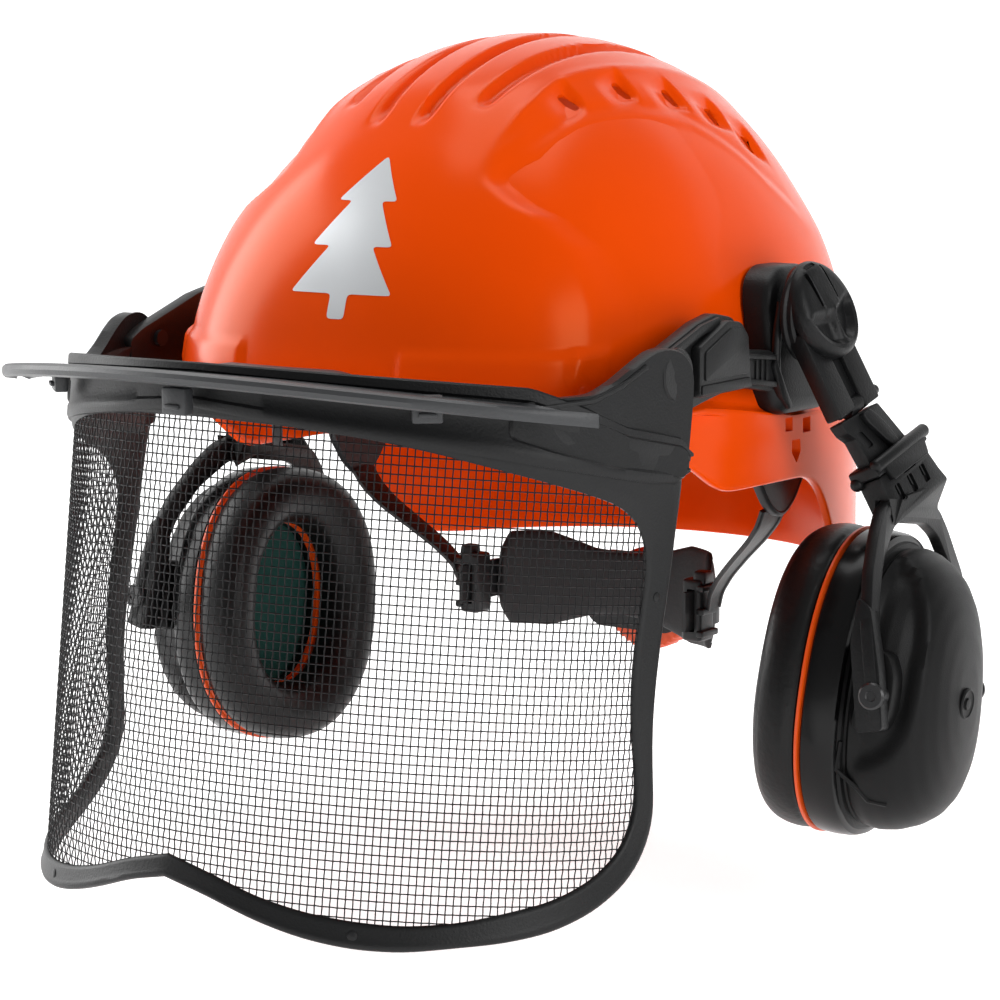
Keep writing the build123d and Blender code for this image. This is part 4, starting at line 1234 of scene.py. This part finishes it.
def make_sweatband():
    """The brow pad: a soft band with a seam near each edge and a slight ruffle."""
    tilt = Matrix.Translation((0, -12, -8)) @ Matrix.Rotation(math.radians(-8), 4, "X")
    pts, out = u_path(74.9, 79.9, 0, 91, 75.0)
    rings = []
    for i, (p, n) in enumerate(zip(pts, out)):
        end = math.sqrt(max(0.02, 1 - max(0.0, abs(i - 45) / 45.0 - 0.93) ** 2 / 0.0049))
        ruffle = 0.25 * math.sin(i * 1.9)
        section = ((-15.0, 1.4), (-15.2, 0.2), (-14.2, -1.2), (-13.2, -1.0), (-11, -1.9),
                   (-5, -2.2 + ruffle * 0.4), (0, -1.6), (5, -2.2 - ruffle * 0.4), (11, -1.9), (13.2, -1.0),
                   (14.2, -1.2), (15.2, 0.2), (15.0, 1.4), (10, 1.95), (0, 2.0), (-10, 1.95))
        ring = [[*(p + n * o), h * (0.6 + 0.4 * end)] for h, o in section]
        rings.append(placed(ring, tilt))
    band = loft("sweat", rings)
    finish_piece(band, "brow_sweatband", "helmet", "sweatband_foam", ["sweatband"], sharp=80)


NAPE_HALF, NAPE_Y, NAPE_DEEP, NAPE_Z, NAPE_INSET = 53.0, 46.0, 22.0, -100.0, 4.4


def make_nape_pad():
    """The nape pad, crowned and swelling towards its ends, and its two rows of stitches."""
    pts, out = u_path(NAPE_HALF - NAPE_INSET, NAPE_DEEP - NAPE_INSET, 0, 97, 89.0)
    length = np.concatenate([[0], np.cumsum(np.hypot(*np.diff(pts, axis=0).T))])
    length -= length[-1] / 2
    half_span = length[-1]
    rings, stitches = [], [[], []]
    for s, p, n in zip(length, pts, out):
        a = abs(s)
        tall = np.interp(a, [0, 14, 34, 50, half_span - 2], [12.8, 13.6, 19.4, 19.0, 16.4])
        end = math.sqrt(max(0.004, 1 - max(0.0, (a - (half_span - 6)) / 6.3) ** 2))
        tall *= 0.35 + 0.65 * end
        thick = 2.9 * (0.45 + 0.55 * end)
        puff = 0.14 * math.sin(s * 0.9) + 0.1 * math.sin(s * 2.3 + 1)
        section = ((-1.0, 0.0), (-0.985, 0.35), (-0.95, 0.5), (-0.9, 0.34), (-0.84, 0.55), (-0.55, 0.92),
                   (0, 1.0), (0.55, 0.92), (0.84, 0.55), (0.9, 0.34), (0.95, 0.5), (0.985, 0.35), (1.0, 0.0),
                   (0.95, -0.5), (0.6, -0.8), (0, -0.85), (-0.6, -0.8), (-0.95, -0.5))
        rings.append([[p[0] + n[0] * (thick * o + puff * (1 - abs(h))), -(p[1] + n[1] * thick * o) + NAPE_Y,
                       NAPE_Z + tall * h] for h, o in section])
        for k, edge in enumerate((-0.9, 0.9)):
            stitches[k].append([p[0] + n[0] * thick * 0.42, -(p[1] + n[1] * thick * 0.42) + NAPE_Y,
                                NAPE_Z + tall * edge])
    pad = subdivide(loft("pad", rings))
    pad = finish_piece(pad, "nape_pad_cover", "nape_cradle", "nape_fabric", ["nape_pad"], sharp=180)
    threads = []
    for line in stitches:
        line = np.array(line)[6:-6]
        for i in range(0, len(line) - 1, 2):
            threads.append(tube("stitch", line[i:i + 2], 0.28, 6))
    finish_piece(fuse("threads", threads), "nape_pad_stitches", "nape_cradle", "nape_fabric",
                 mat=FINISH["webbing"])


def make_nape_loops():
    """The slotted buckles at the pad's ends, with cross bars and a hook."""
    loops = box("loop", (47.8, 56.6), (29.0, 39.0), (-112.0, -88.0))
    loops = soften(loops, 1.6, 3)
    slot = box("cut", (50.5, 53.9), (20.0, 50.0), (-108.2, -91.8))
    loops = combine(loops, [slot], "DIFFERENCE")
    bars = [side_slab("bar", [(28.2, z), (39.8, z), (39.8, z + 2.6), (28.2, z + 2.6)], 55.0, 58.2, 0.9)
            for z in (-110.0, -101.4, -92.6)]
    hook = side_slab("hook", [(30.0, -90), (38.0, -90), (37.0, -85.0), (31.0, -85.0)], 52.0, 57.4, 1.4)
    parts = [loops] + [soften(b, 0.7) for b in bars] + [soften(hook, 0.9)]
    finish_pair(fuse("loop", parts), "nape_loop_buckle", "nape_cradle", "harness_plastic", ["nape_loop"])


def make_nape_straps():
    """The moulded straps from the ear clips down to the nape loops, left without a parent body."""
    path = np.array([(95.6, 16.5, -55), (92, 18, -62), (85.5, 20.5, -69), (76, 25, -77), (66.5, 30, -85.5),
                     (60.4, 33.5, -93), (58.8, 34.4, -99)])
    t = np.linspace(0, 6, 49)
    line = np.stack([np.interp(t, range(7), path[:, k]) for k in range(3)], -1)
    soft = np.hanning(11) / np.hanning(11).sum()
    line = np.stack([np.convolve(np.pad(line[:, k], 5, "reflect", reflect_type="odd"), soft, "valid")
                     for k in range(3)], -1)
    wide = np.interp(t, [0, 1, 3, 5, 6], [7.6, 7.0, 5.4, 4.2, 3.8])
    rings = []
    tangents = np.gradient(line, axis=0)
    for p, d, w in zip(line, tangents, wide):
        d = d / np.linalg.norm(d)
        across = np.array([0.15, 1.0, 0.1])
        across -= d * (across @ d)
        across /= np.linalg.norm(across)
        up = np.cross(d, across)
        rings.append([p + across * w * a + up * b for a, b in (
            (-1, -0.5), (-1, 0.7), (-0.9, 1.1), (-0.74, 1.0), (-0.68, 0.5), (0.68, 0.5), (0.74, 1.0),
                                                               (0.9, 1.1),
            (1, 0.7), (1, -0.5), (0.9, -0.8), (-0.9, -0.8))])
    for piece, (side, sign) in zip(both_ways(loft("strap", rings)), SIDES):
        dress(piece, f"nape_strap_arm_{side}", FINISH["harness_plastic"], 36)
        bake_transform(piece)
        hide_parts(f"nape_strap_{side}")


def make_dial():
    """The knurled ratchet knob, on the ratchet's axis."""
    low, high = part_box("ratchet_dial")
    middle = (low + high) / 2 / MM
    start = low.y / MM
    ridges = 40

    def grip(angles):
        """The knurling round the knob."""
        return 1 + 0.022 * np.sign(np.cos(ridges * angles)) * np.abs(np.cos(ridges * angles)) ** 0.6
    profile = ((3.6, 0.3), (17.5, 0.2), (19.4, 0.6), (20.1, 1.4), (20.2, 6), (20.1, 10.2), (19.2, 11.4),
               (16.6, 12.0), (15.8, 11.2), (12.0, 10.9), (6.4, 10.9), (5.8, 11.5), (2.0, 11.6))
    origin = (0, start, middle.z)
    dial = disc_stack("dial", profile, origin, (0, 1, 0), 320, grip)
    finish_piece(dial, "dial_knurled", "dial", "dial_plastic", ["ratchet_dial"], sharp=40)


KEPT = (("headband", "harness_plastic"), ("headband_links", "harness_plastic"),
        ("nape_band", "harness_plastic"), ("ratchet_housing", "harness_plastic"),
        ("ratchet_pinion", "pin_plastic"), ("swing_pin_left", "pin_plastic"),
        ("swing_pin_right", "pin_plastic"))


def dress_kept_nodes():
    """CAD nodes that stay as they are, in their own finish."""
    for name, slot in KEPT:
        node = frame["nodes"][name]
        node.data.materials.clear()
        node.data.materials.append(FINISH[slot])


make_crown_straps()
make_clips()
make_sweatband()
make_nape_pad()
make_nape_loops()
make_nape_straps()
make_dial()
dress_kept_nodes()


# Stage, light and camera ---------------------------------------------------------------
WHITE = (1.0, 1.0, 1.0, 1.0)
AIM, CAMERA_AT = Vector((-0.0073, -0.0119, -0.0578)), (0.6737, -0.9622, 0.1131)
LIGHTS_AIM = Vector((0, 0, -0.02))


def make_world():
    """A soft surround, brightest behind the object as the camera sees it."""
    world = bpy.data.worlds.new("studio")
    world.use_nodes = True
    nodes, links = world.node_tree.nodes, world.node_tree.links
    place = nodes.new("ShaderNodeTexCoord")
    dot = nodes.new("ShaderNodeVectorMath")
    dot.operation = "DOT_PRODUCT"
    dot.inputs[1].default_value = (-0.57, 0.815, -0.05)
    links.new(place.outputs["Generated"], dot.inputs[0])
    glow = nodes.new("ShaderNodeMapRange")
    glow.interpolation_type = "SMOOTHSTEP"
    glow.inputs["From Min"].default_value = 0.45
    glow.inputs["From Max"].default_value = 0.88
    glow.inputs["To Min"].default_value = 0.3
    glow.inputs["To Max"].default_value = 0.8
    links.new(dot.outputs["Value"], glow.inputs["Value"])
    background = nodes["Background"]
    background.inputs["Color"].default_value = WHITE
    links.new(glow.outputs["Result"], background.inputs["Strength"])
    bpy.context.scene.world = world


def make_floor():
    """A pale, faintly glowing floor that sweeps up behind the object."""
    low, near, far, bend, wide, top, steps = -0.2015, -14.0, 2.2, 1.4, 9.0, 4.5, 24
    profile = [(near, low), (far, low)]
    for turn in np.linspace(0, math.pi / 2, steps):
        profile.append((far + bend * math.sin(turn), low + bend * (1 - math.cos(turn))))
    profile.append((far + bend, top))
    verts = [(side, along, up) for along, up in profile for side in (-wide, wide)]
    faces = [(2 * i, 2 * i + 1, 2 * i + 3, 2 * i + 2) for i in range(len(profile) - 1)]
    mesh = bpy.data.meshes.new("floor")
    mesh.from_pydata(verts, [], faces)
    mesh.polygons.foreach_set("use_smooth", [True] * len(mesh.polygons))
    floor = link("floor", mesh)
    floor.rotation_euler = (0, 0, math.radians(35))
    pale = material("floor_pale", (0.9, 0.9, 0.9), 0.95)
    bsdf = pale.node_tree.nodes["Principled BSDF"]
    bsdf.inputs["Specular IOR Level"].default_value = 0.1
    bsdf.inputs["Emission Color"].default_value = WHITE
    bsdf.inputs["Emission Strength"].default_value = 0.62
    mesh.materials.append(pale)


def make_lights():
    """A large soft box on each side and one overhead."""
    for name, spot, energy, wide, tall in (
            ("left_box", (-1.45, -0.39, 0.55), 20, 1.0, 1.3),
            ("right_box", (1.47, -0.36, 0.50), 9, 0.6, 0.9),
            ("top_box", (-0.15, 0.25, 1.7), 11, 1.1, 1.1)):
        lamp = bpy.data.lights.new(name, "AREA")
        lamp.shape = "RECTANGLE"
        lamp.energy, lamp.size, lamp.size_y = energy, wide, tall
        obj = link(name, lamp)
        obj.location = spot
        obj.rotation_euler = (LIGHTS_AIM - Vector(spot)).to_track_quat("-Z", "Y").to_euler()


def make_camera():
    """A long lens, to the left of the front and a little above the object."""
    data = bpy.data.cameras.new("camera")
    data.lens, data.sensor_width = 112.7, 36.0
    camera = link("camera", data)
    camera.location = CAMERA_AT
    camera.rotation_euler = (AIM - camera.location).to_track_quat("-Z", "Y").to_euler()
    bpy.context.scene.camera = camera
    bpy.context.scene.view_settings.view_transform = "Standard"


make_world()
make_floor()
make_lights()
make_camera()
